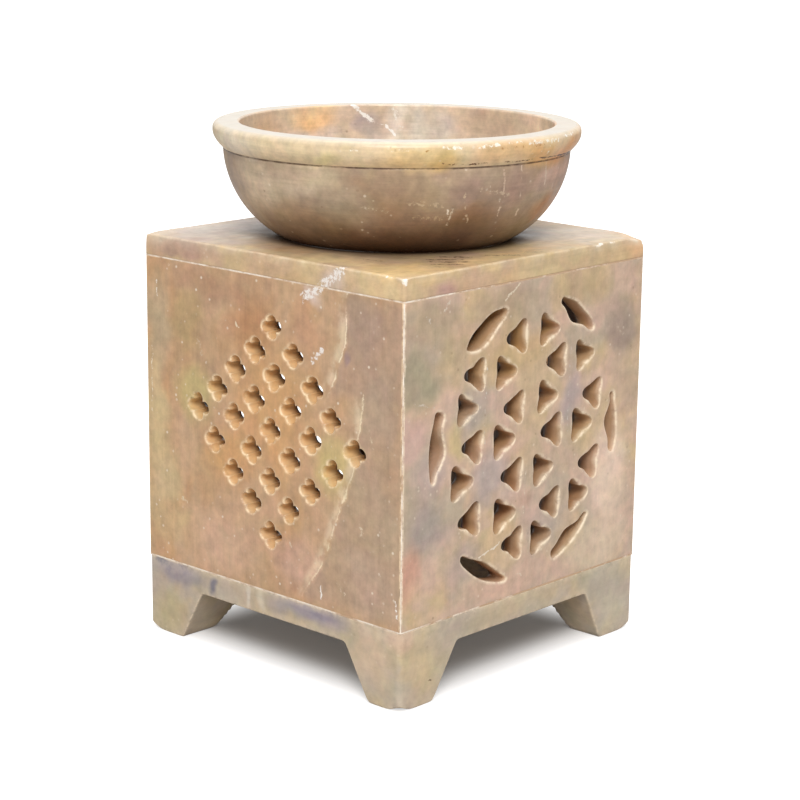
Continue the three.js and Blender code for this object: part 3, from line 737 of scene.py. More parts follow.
left_thread = [(17, 9.0), (23, 13.5), (30, 17.5), (38, 20.5), (47, 24.0), (55, 26.0), (65, 27.5)]
left_veins = [
    ([(61, 16.5), (67, 19.5), (75, 22.3), (81, 22.6), (86, 23.5)], (0, -1, 0), "#f0dcbc", 1.0, "#ab907c"),
    (left_thread, (0, -1, 0), "#ecd6b4", 1.0, "#af957e"),
]
left_scratches = [
    ([(-38.2, -10.9, 81.9), (-38.2, -15.3, 84.5)], 2.4, "#f2eae2", 0.63),
    ([(-38.2, -13.1, 68.9), (-38.2, -15.7, 71.7)], 1.3, "#f2eae2", 0.64),
    ([(-38.2, 34.4, 79.5), (-38.2, 34.5, 76.0)], 0.4, "#eadfce", 0.66),
    ([(-38.2, 36.2, 64.0), (-38.2, 36.6, 50.0)], 0.5, "#e8d8bc", 0.6),
    ([(-38.2, -15.8, 22.0), (-38.2, -15.8, 19.0)], 0.4, "#f6efe6", 0.8),
    ([(-38.2, -36.7, 23.5), (-38.2, -37.3, 20.0)], 0.6, "#f6efe6", 0.6),
    ([(-38.2, -27.6, 64.4), (-38.2, -27.0, 60.0), (-38.2, -25.6, 53.0)], 0.5, "#e6d2b2", 0.6),
    ([(-38.2, -26.4, 37.4), (-38.2, -27.4, 35.2)], 1.3, "#d6c2a6", 0.52),
    ([(-38.2, 27.0, 32.2), (-38.2, 25.2, 31.4)], 0.9, "#ddcaa8", 0.54),
    ([(-38.2, 21.2, 68.6), (-38.2, 20.2, 65.4)], 1.4, "#c9b091", 0.5),
    ([(-38.2, -29.6, 55.8), (-38.2, -30.4, 53.0)], 1.1, "#d2bd9e", 0.52),
    ([(-38.2, 9.6, 74.0), (-38.2, 9.0, 72.6)], 0.6, "#e4cfb0", 0.6),
    ([(-38.2, -20.4, 23.2), (-38.2, -22.4, 21.6)], 1.0, "#d2bda4", 0.52),
    ([(-38.2, -6.2, 29.4), (-38.2, -7.0, 28.0)], 0.8, "#d8c4aa", 0.54),
]
right_clouds = [
    ((38, 10, 64), (6, 22, 16), "#c3a47f", 0.6),
    ((38, -22, 40), (6, 12, 18), "#b79c86", 0.6),
    ((38, 22, 32), (6, 14, 12), "#cba98f", 0.6),
]
right_veins = [([(15, -20.0), (35, -12.0), (60, -16.0), (86, -5.0)], (0, 1, 0), "#e0c8a4", 0.8, "#b89c82")]
pink_tones = ("#c29c76", "#c99b6e", "#b99875", "#c6a280")
drill = np.random.default_rng(7)
right_slips = drill.normal(0, 3, LEFT_SLIPS.shape)
for side, quarters, slips, block, clouds, veins, scratches in (
    ("left", 1, LEFT_SLIPS, 3, left_clouds, left_veins, left_scratches),
    ("right", 3, right_slips, 4, right_clouds, right_veins, ()),
):
    points, faces, paint = pierced_wall([lattice_holes(drill, slips)])
    wall = stone_piece(f"{side}_lattice_wall", stand(points, quarters), faces, **paint)
    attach(wall, "burner_box")
    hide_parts(f"{side}_lattice_panel")
    # Pink soapstone, sawn upright: warm, streaked and specked with talc, its filed holes honey inside, partly
    # the filed stone's colour and partly painted light where the holes lie in shade.
    wall.data.materials.append(soapstone(
        f"pink_soapstone_{block}", block, pink_tones, lay=(1, 1, 0.45), clouds=clouds, veins=veins,
        scratches=scratches, saw=(1, 1, 0.04), streak=0.09, mottle=0.19, talc=0.75,
        paints=(("hole_wall", "#ffd69c", 0.65, 0), ("wear", "#f8deb6", 0.9, 2.0), SOOT_AND_SHADE),
    ))


# BACK ARCH PANEL
# The rear wall of tan soapstone, plain but for a round-headed arch sawn up from its foot, wide enough to reach
# in and light the burner. The sawn edge of the arch is rubbed smooth.

ARCH_HALF, ARCH_SPRING = 23.0, 44.25
JAMB_STEPS, HEAD_STEPS = 14, 48
# The arch darkens towards the inner face: soot and painted shade of the inside of the box.
ARCH_SOOT_AND_SHADE = (0, 0, 0, 0, 0, 0, 0.1, 0.5, 0.9, 1)


def arch_wall():
    """One outline round the wall and up over the arch, carried through the thickness of the stone; the two
    faces are single flat polygons."""
    u, z, end, top = wall_outline()
    foot = (top == -1) & (np.abs(u) < ARCH_HALF)
    first, last = np.flatnonzero(foot)[[0, -1]]
    jamb = np.linspace(PANEL_LOW, ARCH_SPRING, JAMB_STEPS)
    head = np.linspace(np.pi, 0, HEAD_STEPS)
    angle = np.concatenate([np.full(JAMB_STEPS, np.pi), head, np.zeros(JAMB_STEPS)])
    rise = np.concatenate([jamb, np.full(HEAD_STEPS, ARCH_SPRING), jamb[::-1]])
    into = np.stack([np.cos(angle), np.sin(angle)], -1)

    def splice(values, middle):
        return np.concatenate([values[:first], middle, values[last + 1 :]])

    nought, plain = np.zeros(len(angle)), np.zeros(len(u))
    cut = np.stack([splice(plain, into[:, 0]), splice(plain, into[:, 1])], -1)
    across, up = splice(u, ARCH_HALF * into[:, 0]), splice(z, rise + ARCH_HALF * into[:, 1])
    ring = wall_edge(across, up, splice(end, nought), splice(top, nought), cut)
    index = numbered(ring)
    faces = grid_faces(index) + [index[0].tolist(), index[-1].tolist()]
    wear, soot = (np.repeat(marks, ring.shape[1]) for marks in (EDGE_MARKS["wear"], ARCH_SOOT_AND_SHADE))
    return ring.reshape(-1, 3), faces, wear, soot


back_points, back_faces, back_wear, back_soot = arch_wall()
back = stone_piece("back_arch_wall", stand(back_points, 2), back_faces, wear=back_wear, soot=back_soot)
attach(back, "burner_box")
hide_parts("back_arch_panel")
back_clouds = [
    ((20, 38, 70), (18, 6, 12), "#b79f86", 0.6),
    ((-28, 38, 40), (10, 6, 20), "#c9a98c", 0.6),
    ((-10, 38, 76), (14, 6, 8), "#c6a87e", 0.6),
    ((30, 38, 34), (8, 6, 16), "#ab9c93", 0.6),
]
back_veins = [([(46, 27.0), (58, 22.0), (70, 24.0), (86, 15.0)], (1, 0, 0), "#e2ccaa", 0.8, "#b89c82")]
back_scratches = [
    ([(-22.0, 38.2, 70.0), (-14.0, 38.2, 75.0)], 0.45, "#e2d2b8", 0.62),
    ([(-31.0, 38.2, 33.0), (-29.0, 38.2, 27.0)], 0.8, "#d8c6aa", 0.54),
]
# Tan soapstone, sawn upright: the plainest of the walls, streaked, with one pale thread.
back.data.materials.append(soapstone(
    "tan_soapstone", 5, ("#c3a786", "#c6a57e", "#b5a28b", "#c7a992"), lay=(1, 1, 0.6), clouds=back_clouds,
    veins=back_veins, scratches=back_scratches, saw=(1, 1, 0.04), streak=0.08, mottle=0.13,
))


# CORNER CEMENT AND UPPER CEMENT BED
# The same pale cement in the four mitres and under the slab: pressed out as the box was closed, and wiped
# flush with the stone while it was soft.

lay_cement(
    cement,
    "front_left_corner_cement",
    "front_right_corner_cement",
    "back_left_corner_cement",
    "back_right_corner_cement",
    "upper_cement_bed",
)


# TOP SLAB
# A thin square slab of yellow soapstone with one round hole, sawn to let the bowl down until it wedges. Its
# upper edge is rubbed, chipped along the front and worn low at one corner; round the hole it carries a
# painted shadow of the bowl.

SLAB_LOW, SLAB_HIGH = 84.65, 89.25
SLAB_EDGE, SLAB_UNDER_EDGE = 0.5, 0.1
SLAB_HOLE, HOLE_LIP = 24.8, 0.04
SIDE_HEIGHTS = (86.3, 85.5, SLAB_LOW + SLAB_UNDER_EDGE)
CHIP_FADE_HEIGHT, CHIP_DRAW = 87.4, 0.35
TOP_STEPS = (0.05, 0.15, 0.35, 0.6, 0.75, 0.85, 0.92, 0.97)
# Pale rub on the slab's upper edge: partly wear, partly a painted highlight.
EDGE_WEAR_AND_HIGHLIGHT = (0.05, 0.15, 0.35, 0.6, 0.8, 0.7, 0.4, 0.1)
# Painted shadow of the bowl, dark brown on the wall of the hole and out over the top.
HOLE_SHADOW = (1, 1, 1, 1, 1, 1, 1, 1, 1, 0.9, 0.55, 0.12)
SLAB_CHIPS = np.array(
    [(-HALF, -HALF, 0.5, 1.1), (-HALF, -34.5, 0.35, 0.8), (22.0, -HALF, 0.4, 0.9)]
    + [(27.0, -HALF, 0.25, 0.7), (HALF, -HALF, 1.0, 4.0), (-HALF, HALF, 0.4, 2.5)]
)


def slab_ring():
    """A closed profile carried round the hole: up the wall of the hole, out over the top to the rubbed outer
    edge, down the side and back underneath. Each ring lies part of the way from the circle of the hole to a
    square with rounded corners. The rubbed edge swells in slow waves; at each chip the top sinks by a bell
    curve of the distance, and the edge draws in a third as far."""
    line = edged(HALF, ARRIS, 90)[:-1]
    end = np.full(len(line), HALF)
    x, y = np.concatenate([line, end, -line, -end]), np.concatenate([-end, line, end, -line])
    square = np.stack(rounded_corner(x, y, HALF, ARRIS), -1)
    out = unit(square - square.clip(ARRIS - HALF, HALF - ARRIS))
    lead = unit(square)
    rub = SLAB_EDGE + 0.1 * np.sin(square @ (0.21, 0.34)) + 0.08 * np.sin(square @ (0.83, -0.57) + 1)
    turn = np.linspace(0, np.pi / 2, 6)
    lip = HOLE_LIP
    rows = [(0, 0, z, 0) for z in (SLAB_LOW, SLAB_LOW + 1.5, SLAB_LOW + 3, SLAB_HIGH - lip)]
    rows += [(0, lip * (1 - np.cos(t)), SLAB_HIGH - lip * (1 - np.sin(t)), 0) for t in turn[1:]]
    rows += [(b, lip * (1 - b) - rub * b, SLAB_HIGH, 1) for b in TOP_STEPS]
    rows += [(1, rub * (np.sin(t) - 1), SLAB_HIGH - rub * (1 - np.cos(t)), 1) for t in turn]
    rows += [(1, 0, CHIP_FADE_HEIGHT, 0.3)] + [(1, 0, z, 0) for z in SIDE_HEIGHTS]
    rows += [(1, -SLAB_UNDER_EDGE, SLAB_LOW, 0), (0.6, 0, SLAB_LOW, 0), (0.3, 0, SLAB_LOW, 0)]
    part, push, height, sinks = (np.stack([v + 0 * rub for v in column])[..., None] for column in zip(*rows))
    flat = SLAB_HOLE * lead * (1 - part) + square * part + push * (lead * (1 - part) + out * part)
    away = np.linalg.norm(flat[..., None, :] - SLAB_CHIPS[:, :2], axis=-1)
    chip = (SLAB_CHIPS[:, 2] * np.exp(-((away / SLAB_CHIPS[:, 3]) ** 2))).sum(-1)[..., None] * sinks
    rings = np.concatenate([flat - out * chip * CHIP_DRAW * (part == 1), height - chip], -1)
    index = numbered(rings)
    wear = np.zeros(len(rows))
    wear[16:24] = EDGE_WEAR_AND_HIGHLIGHT
    wear = (wear[:, None] * (0.6 + 1.5 * chip[..., 0])).clip(0, 1)
    soot = np.zeros(rings.shape[:2])
    soot[: len(HOLE_SHADOW)] = np.array(HOLE_SHADOW)[:, None]
    return rings.reshape(-1, 3), grid_faces(np.concatenate([index, index[:1]])), wear, soot


slab_points, slab_faces, slab_wear, slab_soot = slab_ring()
slab = stone_piece("yellow_top_slab", slab_points, slab_faces, wear=slab_wear, soot=slab_soot)
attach(slab, "burner_box")
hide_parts("top_slab")
slab_clouds = [
    ((-18, 30, 89), (26, 14, 4), "#d2c6be", 0.85),
    ((-32, 24, 89), (10, 14, 3), "#c4b2a2", 0.7),
    ((-38, 26, 86.6), (5, 16, 3), "#bd9684", 0.75),
    ((-38, 10, 87), (5, 6, 3), "#cbb083", 0.6),
    ((-38, 30, 86), (4, 3, 2), "#a98a78", 0.6),
    ((-38, -4, 87), (5, 14, 4), "#c8a782", 0.6),
    ((-38, -18, 86), (3, 6, 3), "#c4a084", 0.5),
    ((-37, -34, 87), (6, 6, 4), "#e0c596", 0.8),
    ((-18, -38, 86.5), (12, 5, 3), "#c9a48a", 0.65),
    ((-27, -38, 86), (4, 4, 2.6), "#c3988e", 0.75),
    ((35, -38, 87), (7, 5, 4), "#e0b184", 0.8),
    ((14, -38, 87), (24, 5, 4), "#cfb48c", 0.7),
    # Painted light: lifts the bowl's shade on the top to the left of the bowl.
    ((-31, -16, 89.2), (7, 13, 3), "#ecce9e", 0.85),
    ((-32, -32, 89.3), (11, 11, 2), "#e6c48c", 0.85),
    # Painted light: lifts the bowl's shade on the strip in front of the bowl.
    ((-8, -34.5, 89.3), (28, 4, 2), "#efcc98", 0.85),
    ((4, -36.5, 89.3), (24, 3, 2), "#e2c594", 0.8),
    ((-36, 0, 89.3), (3, 26, 2), "#e0c79a", 0.7),
    ((28, -26, 89.2), (16, 16, 4), "#d8cab6", 0.75),
    # Painted shadow of the bowl, dark brown round the hole.
    ((0, 0, 89), (29, 29, 6), "#4a2c12", 0.9),
    ((-38, -18.5, 86.6), (3, 4.2, 2.6), "#d9c4b6", 0.75),
]
slab_scratches = [
    ([(-38.2, -15.8, 84.8), (-38.2, -21.3, 88.6)], 2.4, "#f2eae2", 0.62),
    ([(21.5, -38.2, 88.8), (23.0, -38.2, 88.9)], 0.7, "#f6efe4", 0.9),
    ([(26.5, -38.2, 88.9), (27.5, -38.2, 88.9)], 0.5, "#f6efe4", 0.8),
    ([(-38.2, -38.2, 88.4), (-38.0, -38.0, 89.0)], 1.1, "#f6efe4", 0.9),
    ([(-38.2, -35.2, 89.0), (-38.2, -33.6, 89.0)], 0.6, "#f6efe4", 0.85),
    # Short dark brown dashes in rows on the top in front of the bowl.
    ([(-15.1, -26.4, 89.2), (-10.6, -30.6, 89.2)], 1.1, "#5e4024", 0.64),
    ([(-19.1, -26.8, 89.2), (-13.6, -31.9, 89.2)], 1.1, "#644628", 0.64),
    ([(-20.9, -29.0, 89.2), (-15.3, -34.2, 89.2)], 1.1, "#6a4c2c", 0.64),
    ([(-22.7, -31.2, 89.2), (-18.3, -35.3, 89.2)], 1.0, "#7a5934", 0.58),
    ([(-24.2, -33.8, 89.2), (-21.4, -36.4, 89.2)], 0.8, "#8a6a44", 0.56),
    ([(-7.5, -30.5, 89.2), (-1.6, -36.0, 89.2)], 1.0, "#74522e", 0.56),
    ([(1.6, -33.7, 89.2), (5.3, -37.1, 89.2)], 0.8, "#8a6a44", 0.55),
    ([(-28.5, -18.0, 89.2), (-27.0, -22.0, 89.2)], 0.8, "#9a7750", 0.54),
]
# Yellow-tan soapstone, sawn and waxed: the warmest stone, a little brighter, with a painted shadow in dark
# brown where the bowl sits and painted light on the top in front of the bowl.
slab.data.materials.append(soapstone(
    "yellow_tan_soapstone", 6, ("#d4b689", "#d0aa7c", "#dac092", "#c9ab8c"), clouds=slab_clouds,
    scratches=slab_scratches, saw=(0.06, 0.4, 1), streak=0.1, mottle=0.16, polish=0.38,
    paints=(("wear", "#ecdcc2", 0.85, 3.0), ("soot", "#3a1c08", 0.85, 0)),
))


# LOOSE BOWL
# Turned from a darker, olive-brown piece of the same stone: flat bottom, round side, a cut groove and a
# thick lip of the block's cream skin. It only rests in the hole of the slab and lifts off.

BOWL_FLAT, BOWL_CURVE, BOWL_WALL = 14.85, 22.3, 3.55
BOWL_BOTTOM, RIM_TOP = 86.95, 113.65
LIP_RADIUS, LIP_FOOT = 39.3, 108.35
LIP_SWELL, LIP_ROLL, MOUTH_ROLL = 3.4, 1.3, 0.45
GROOVE_HEIGHT = 0.44
GROOVE_CUT = np.array([(-0.18, 0.1), (-0.26, 0.22), (-0.18, 0.36), (0.03, 0.42)])
OUT_OF_ROUND = 0.0012


def bowl_profile():
    """Radius and height from the middle of the bottom, out and up the round side, through the groove, round
    the lip, down the mouth and the round inside to the middle of the floor. With each point come the marks
    lip, top, groove and inside; top carries a painted highlight, groove painted shade, and inside partly
    painted light."""
    middle = BOWL_BOTTOM + BOWL_CURVE
    mouth = BOWL_FLAT + BOWL_CURVE - BOWL_WALL
    side = np.linspace(-np.pi / 2, np.arcsin((LIP_FOOT - GROOVE_HEIGHT - middle) / BOWL_CURVE), 30)
    outside = np.stack([BOWL_FLAT + BOWL_CURVE * np.cos(side), middle + BOWL_CURVE * np.sin(side)], -1)
    groove = outside[-1] + GROOVE_CUT
    t = np.linspace(0, np.pi / 2, 9)
    foot, edge, inner = outside[-1] + (0.1, GROOVE_HEIGHT), LIP_ROLL, MOUTH_ROLL
    rise = np.linspace(0, 1, 9)
    bead = foot[0] + (LIP_RADIUS - foot[0]) * (1 - (1 - rise) ** 1.8)
    bead = np.stack([bead, foot[1] + LIP_SWELL * rise], -1)
    roll = np.stack([LIP_RADIUS - edge * (1 - np.cos(t)), RIM_TOP - edge * (1 - np.sin(t))], -1)
    flat = np.stack([np.linspace(LIP_RADIUS - edge, mouth + inner, 6)[1:], np.full(5, RIM_TOP)], -1)
    lean = np.stack([mouth + inner * (1 - np.sin(t[1:])), RIM_TOP - inner * (1 - np.cos(t[1:]))], -1)
    drop = np.stack([np.full(8, mouth), np.linspace(RIM_TOP - inner, middle, 9)[1:]], -1)
    hollow = np.linspace(0, -np.pi / 2, 24)[1:]
    bend = mouth - BOWL_FLAT
    inside = np.stack([BOWL_FLAT + bend * np.cos(hollow), middle + bend * np.sin(hollow)], -1)
    first, last = [(0.0, BOWL_BOTTOM), (9.0, BOWL_BOTTOM)], [(7.0, inside[-1, 1]), (0.0, inside[-1, 1])]
    runs = [first, outside, groove, bead, roll, flat, lean, drop, inside, last]
    marks = {"lip": (0, 0, 0, 1, 1, 1, 0, 0, 0, 0), "top": (0, 0, 0, 0, 0, 1, 0, 0, 0, 0)}
    marks |= {"groove": (0, 0, 1, 0, 0, 0, 0, 0, 0, 0), "inside": (0, 0, 0, 0, 0, 0, 1, 1, 1, 1)}
    sizes = [len(run) for run in runs]
    marks = {label: np.repeat(np.array(mark, float), sizes) for label, mark in marks.items()}
    top_begin = sum(sizes[:4])
    marks["top"][top_begin : top_begin + 9] = np.linspace(0, 1, 9) ** 1.5
    return np.concatenate(runs), marks


def turned_bowl(steps=240):
    """The profile carried round the axis, a twentieth of a millimetre out of round; the two ends of the
    profile close on the axis."""
    profile, marks = bowl_profile()
    angle = np.arange(steps) * 2 * np.pi / steps
    radius = profile[:, :1] * (1 + OUT_OF_ROUND * np.cos(2 * angle + 0.6))
    height = np.repeat(profile[:, 1:], steps, 1)
    rings = np.stack([radius * np.cos(angle), radius * np.sin(angle), height], -1)
    index = numbered(rings)
    faces = grid_faces(index[1:-1]) + [index[1].tolist(), index[-2].tolist()]
    return rings.reshape(-1, 3), faces, {label: np.repeat(mark, steps) for label, mark in marks.items()}


bowl_points, bowl_faces, bowl_paint = turned_bowl()
bowl = stone_piece("turned_bowl", bowl_points, bowl_faces, **bowl_paint)
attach(bowl, "bowl")
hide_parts("loose_bowl")
bowl_clouds = [
    ((-35, 5, 103), (8, 11, 7), "#d2bc9e", 0.85),
    ((-36, -8, 105), (6, 9, 5), "#cdb799", 0.8),
    ((-33, -5, 97.5), (6, 8, 4), "#b3916f", 0.6),
    ((-24, 26, 101), (10, 10, 9), "#b5a08c", 0.7),
    ((-31, -16, 99), (9, 9, 5), "#b7a58c", 0.75),
    ((-26, -24, 105), (8, 8, 4), "#a98f74", 0.8),
    ((-14, -33, 103), (6, 6, 5), "#9e8272", 0.75),
    ((-3, -36, 103), (7, 7, 6), "#a88873", 0.75),
    ((-12, -32, 97), (8, 8, 4), "#9c7452", 0.7),
    ((13, -33, 104), (8, 8, 5), "#c39a82", 0.85),
    ((6, -36, 105), (6, 4, 4), "#c6a28e", 0.8),
    ((11, -32, 97.5), (7, 6, 3.5), "#ad7546", 0.85),
    ((20, -26, 98), (7, 8, 6), "#b9794a", 0.9),
    # Darker towards the bottom: partly painted shade of the underside, partly darker stone.
    ((-17, -16, 82), (34, 34, 25), "#573212", 0.9),
    ((-4, -4, 84), (90, 90, 13), "#351a04", 0.9),
    ((-8, 33, 110), (8, 8, 5), "#dcb893", 0.7),
    ((8, 33, 110.6), (8, 6, 4.4), "#fccf96", 0.9),
    ((4, 33, 107.0), (16, 8, 2.4), "#dfcebf", 0.85),
    ((20.2, 26.6, 108.8), (3.8, 3.8, 3.2), "#a59ba0", 0.9),
    ((25, 22.5, 110), (3.2, 3.2, 6), "#ece3d6", 0.85),
    ((28, 19, 110), (4, 4, 6), "#d8cfc3", 0.75),
    ((30.6, 14.5, 110), (3.6, 3.6, 6), "#d3c8bb", 0.8),
    ((33.5, 2.5, 110), (7, 9, 6), "#c6ac94", 0.8),
    ((21, 26, 108), (5, 5, 3), "#c4af9e", 0.6),
    ((31, -14, 111), (6, 7, 5), "#f4dabb", 0.85),
    ((-37, 12, 111), (6, 12, 4), "#e6d8c0", 0.8),
    ((-36, -12, 111), (6, 8, 4), "#d6c29a", 0.7),
    ((-26, -29, 111), (8, 8, 4), "#e0c087", 0.75),
    ((-10, -38, 111), (8, 5, 4), "#dcb580", 0.8),
    ((1, -38.5, 111.2), (8, 5, 4), "#e0ae6c", 0.9),
    ((12, -37, 110), (8, 5, 4), "#dd9f62", 0.9),
    ((-36, -14, 110), (4, 4, 3), "#d9c992", 0.75),
    ((-21, -33, 110.6), (4, 4, 3), "#d6b673", 0.75),
    ((25, -30, 111), (9, 9, 4), "#d69a5e", 0.85),
    ((-23.5, -26.5, 113.6), (5, 5, 1.6), "#e2cdb4", 0.7),
]
bowl_scratches = [
    ([(16.3, 29.4, 113.6), (18.3, 28.2, 111.9), (20.1, 26.9, 110.1)], 0.8, "#f8f3ec", 0.8),
    ([(20.1, 26.9, 110.1), (21.4, 25.9, 109.2), (22.7, 24.7, 108.9)], 0.5, "#f0e8de", 0.6),
    ([(22.7, 24.7, 108.9), (24.1, 23.2, 106.9)], 0.7, "#f8f3ec", 0.8),
    ([(24.0, 23.6, 113.0), (25.0, 22.4, 108.0)], 1.4, "#f2ebe0", 0.5),
    ([(-21.4, -33.0, 112.6), (-18.0, -34.9, 112.5)], 0.8, "#fbf3e2", 0.56),
    ([(-14.8, -36.4, 112.5), (-10.5, -37.9, 112.8)], 0.9, "#fbf3e2", 0.58),
    ([(-8.1, -38.5, 113.2), (-5.0, -39.0, 112.9)], 0.8, "#fbf3e2", 0.58),
    ([(-2.7, -39.2, 112.6), (7.6, -38.5, 112.3)], 0.9, "#fbf3e2", 0.57),
    ([(-1.8, -39.2, 112.8), (-1.6, -38.6, 110.3)], 0.5, "#f6e8cc", 0.62),
    ([(1.3, -39.3, 112.6), (1.4, -38.7, 110.6)], 0.5, "#f6e8cc", 0.62),
    ([(3.8, -39.1, 112.6), (3.9, -38.6, 110.2)], 0.5, "#f6e8cc", 0.62),
    ([(9.5, -38.1, 112.9), (15.0, -36.2, 113.0)], 0.9, "#fbf6ec", 0.54),
    ([(-24.0, -30.6, 111.9), (-12.0, -37.2, 111.9)], 0.9, "#b0813f", 0.5),
    ([(-10.0, -38.0, 112.1), (2.0, -39.2, 111.9)], 0.8, "#b5814a", 0.5),
    ([(-34.0, -19.6, 112.0), (-27.0, -28.4, 112.0)], 0.7, "#fbf3e2", 0.5),
    # A broken dark line along the underside of the lip, where it overhangs.
    ([(-21.0, -32.0, 109.2), (-11.7, -36.0, 109.0)], 0.5, "#7a5430", 0.58),
    ([(-15.6, -34.4, 108.8), (-14.2, -35.0, 108.8)], 0.5, "#5a361c", 0.7),
    ([(-7.9, -37.1, 108.9), (0.0, -37.9, 108.9)], 0.6, "#6b4526", 0.6),
    ([(2.0, -37.8, 109.0), (9.8, -36.6, 108.9)], 0.6, "#5f3b1e", 0.65),
    ([(9.8, -36.6, 108.8), (19.1, -32.6, 108.7)], 0.7, "#54301a", 0.75),
    ([(-2.6, -36.9, 107.6), (-1.2, -35.4, 102.0), (0.2, -33.5, 97.1)], 0.6, "#cdb59c", 0.72),
    ([(6.0, -36.6, 107.8), (6.4, -35.9, 103.0)], 0.55, "#d3bca4", 0.72),
    ([(-6.3, -34.7, 100.6), (-5.4, -33.2, 96.6)], 0.55, "#c9b096", 0.7),
    ([(-7.1, -36.3, 107.0), (-6.0, -35.4, 101.0)], 0.6, "#c3a890", 0.7),
    ([(-15.2, -32.8, 103.0), (-12.3, -30.9, 96.7)], 0.6, "#c2a98c", 0.68),
    ([(11.0, -34.9, 106.5), (10.5, -34.2, 101.0)], 0.5, "#cbaf98", 0.7),
    ([(-16.4, -30.9, 99.7), (-16.0, -28.8, 96.2)], 0.8, "#cfbda4", 0.58),
    ([(-17.2, -30.3, 99.3), (-17.0, -29.8, 98.4)], 0.5, "#e6d8c4", 0.62),
    ([(-9.8, -35.2, 104.2), (-9.5, -35.0, 103.2)], 0.4, "#e2d2bc", 0.64),
    ([(-31.0, -18.0, 100.0), (-26.0, -24.0, 99.0)], 1.4, "#c2b194", 0.5),
    ([(-24.0, -26.2, 101.4), (-19.0, -30.0, 100.4)], 1.6, "#c0aa8c", 0.52),
    ([(-22.0, -26.0, 98.0), (-17.0, -29.6, 97.6)], 1.4, "#b59c7c", 0.52),
    ([(-12.0, -33.8, 104.0), (-5.0, -35.6, 102.0)], 1.4, "#bfa78c", 0.52),
    ([(-28.5, -22.3, 105.5), (-22.0, -28.6, 105.0)], 1.2, "#bca588", 0.5),
    ([(-33.0, -13.0, 103.0), (-29.0, -20.6, 102.0)], 1.2, "#c6b294", 0.5),
]
# Olive-brown soapstone, turned and waxed: dark and half bright, streaked round by the lathe, with pale drips
# down the side, a cream lip with a painted highlight on its flat top, painted shade in the groove, a pale
# inside that is partly painted light, crossed by one white vein, and a round bottom darkened partly by
# painted shade, partly by darker stone.
bowl.data.materials.append(soapstone(
    "olive_brown_soapstone", 7, ("#ae9676", "#a78b6c", "#b59f84", "#a58b75"),
    # The inside ground is paler partly as painted light on the shaded inside of the bowl.
    grounds=(("inside", "#dfc8ae", 0.9), ("lip", "#e6cfa8", 0.85)), clouds=bowl_clouds,
    scratches=bowl_scratches, saw=(0.05, 0.05, 1), streak=0.13, mottle=0.23, talc=0.45, polish=0.36,
    # The top paint is a painted highlight on the lip's flat top; the groove paint is painted shade in the
    # groove.
    paints=(("top", "#d8d2c8", 0.8, 0), ("groove", "#5d4029", 0.7, 2.5)),
))


# FLOOR, LIGHT AND CAMERA
# A white paper sweep with one large softbox at the front left and a wider one overhead, seen from beyond the
# front left corner, a little above the slab. None of it is part of the object.

SWEEP = 6
floor_mesh = bpy.data.meshes.new("white_sweep")
floor_mesh.from_pydata(
    [(-SWEEP, -SWEEP, 0), (SWEEP, -SWEEP, 0), (SWEEP, SWEEP, 0), (-SWEEP, SWEEP, 0)], [], [(0, 1, 2, 3)]
)
floor = bpy.data.objects.new("white_sweep", floor_mesh)
bpy.context.scene.collection.objects.link(floor)


FADE_BEGIN, FADE_END, SHADOW_GLOW = 0.026, 0.045, 0.05


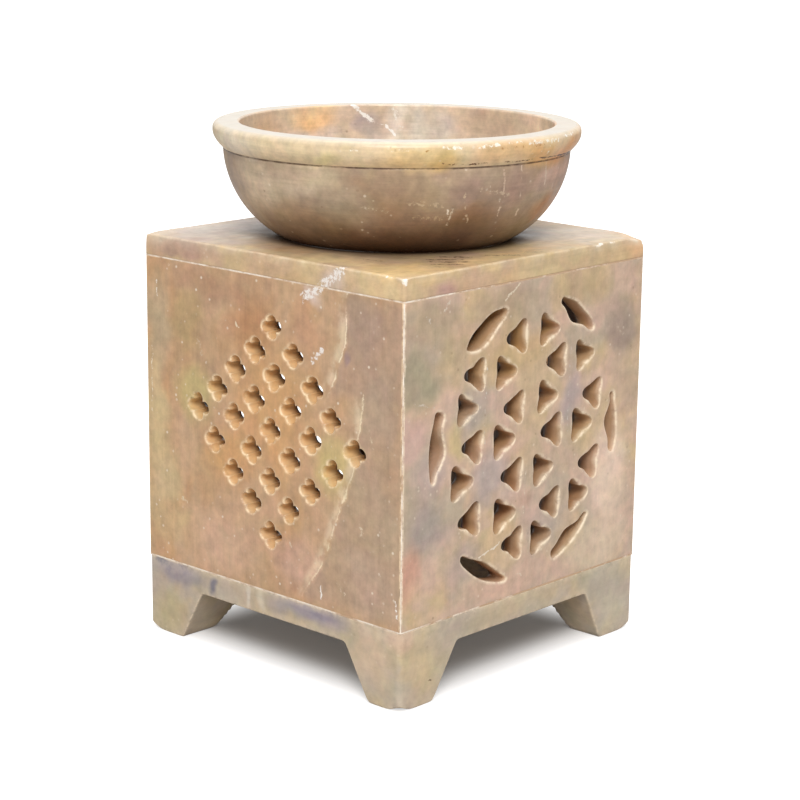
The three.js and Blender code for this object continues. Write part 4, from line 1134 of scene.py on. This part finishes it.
def white_paper(name):
    """Matt pale paper that keeps the shadow under the object. For the camera it glows, faintly under the box
    and up to plain white between 26 and 45 mm from the middle, measured square as the box is; the faint glow
    is a painted lift of the shadow, and the dark square it leaves under the box is partly a painted shadow."""
    material, node, shader, links = blank_material(name)
    shader["Base Color"].default_value = linear("#c9c6c4")
    shader["Roughness"].default_value = 1.0
    shader["Specular IOR Level"].default_value = 0.0
    place = node("SeparateXYZ", node("VectorMath:ABSOLUTE", node("TexCoord", out="Object")))
    away = node("Math:MAXIMUM", place, place.node.outputs["Y"])
    far = node(SOFT, away, FADE_BEGIN, FADE_END, SHADOW_GLOW, 1.0)
    glow = node("Math:MULTIPLY", far, node("LightPath", out="Is Camera Ray"))
    links.new(glow, shader["Emission Strength"])
    shader["Emission Color"].default_value = linear("#ffffff")
    return material


floor.data.materials.append(white_paper("white_paper"))

# The studio is white to the camera and in reflections, and lights the stone from all round at half strength.
FILL_LIGHT = 0.5
world = bpy.data.worlds.new("studio")
bpy.context.scene.world = world
world.use_nodes = True
sky = world.node_tree
seen = add(sky, "LightPath", out="Is Camera Ray")
rays = seen.node.outputs
seen = add(sky, "Math:MAXIMUM", seen, rays["Is Glossy Ray"])
seen = add(sky, "Math:MAXIMUM", seen, rays["Is Transmission Ray"])
level = add(sky, "MapRange", seen, 0.0, 1.0, FILL_LIGHT, 1.0)
sky.links.new(level, sky.nodes["Background"].inputs["Strength"])
sky.nodes["Background"].inputs["Color"].default_value = linear("#ffffff")

AIM = np.array((0, 0, 0.06))
for name, spot, size, power in (
    ("front_softbox", (-0.72, -0.70, 0.85), 0.45, 10.2),
    ("overhead_softbox", (0.1, 0.1, 1.1), 0.8, 4.5),
):
    lamp = bpy.data.lights.new(name, "AREA")
    lamp.size = size
    lamp.energy = power
    holder = bpy.data.objects.new(name, lamp)
    bpy.context.scene.collection.objects.link(holder)
    back_axis = unit(spot - AIM)
    side_axis = unit(np.cross((0.3, 1, 0), back_axis))
    turn = np.eye(4)
    turn[:3] = np.stack([side_axis, np.cross(back_axis, side_axis), back_axis, spot], -1)
    holder.matrix_world = Matrix(turn.tolist())

# The camera's right, up and back directions and its place were fitted to the corners of the box.
lens = bpy.data.cameras.new("camera")
lens.sensor_width = 36.0
lens.lens = 100.34
eye = bpy.data.objects.new("camera", lens)
bpy.context.scene.collection.objects.link(eye)
pose = np.eye(4)
pose[:3] = np.transpose(
    [
        (0.68307, -0.73027, 0.01141),
        (0.16169, 0.16643, 0.97271),
        (-0.71224, -0.66258, 0.23176),
        (-0.3483, -0.32581, 0.16597),
    ]
)
eye.matrix_world = Matrix(pose.tolist())
bpy.context.scene.camera = eye
bpy.context.scene.view_settings.view_transform = "Standard"
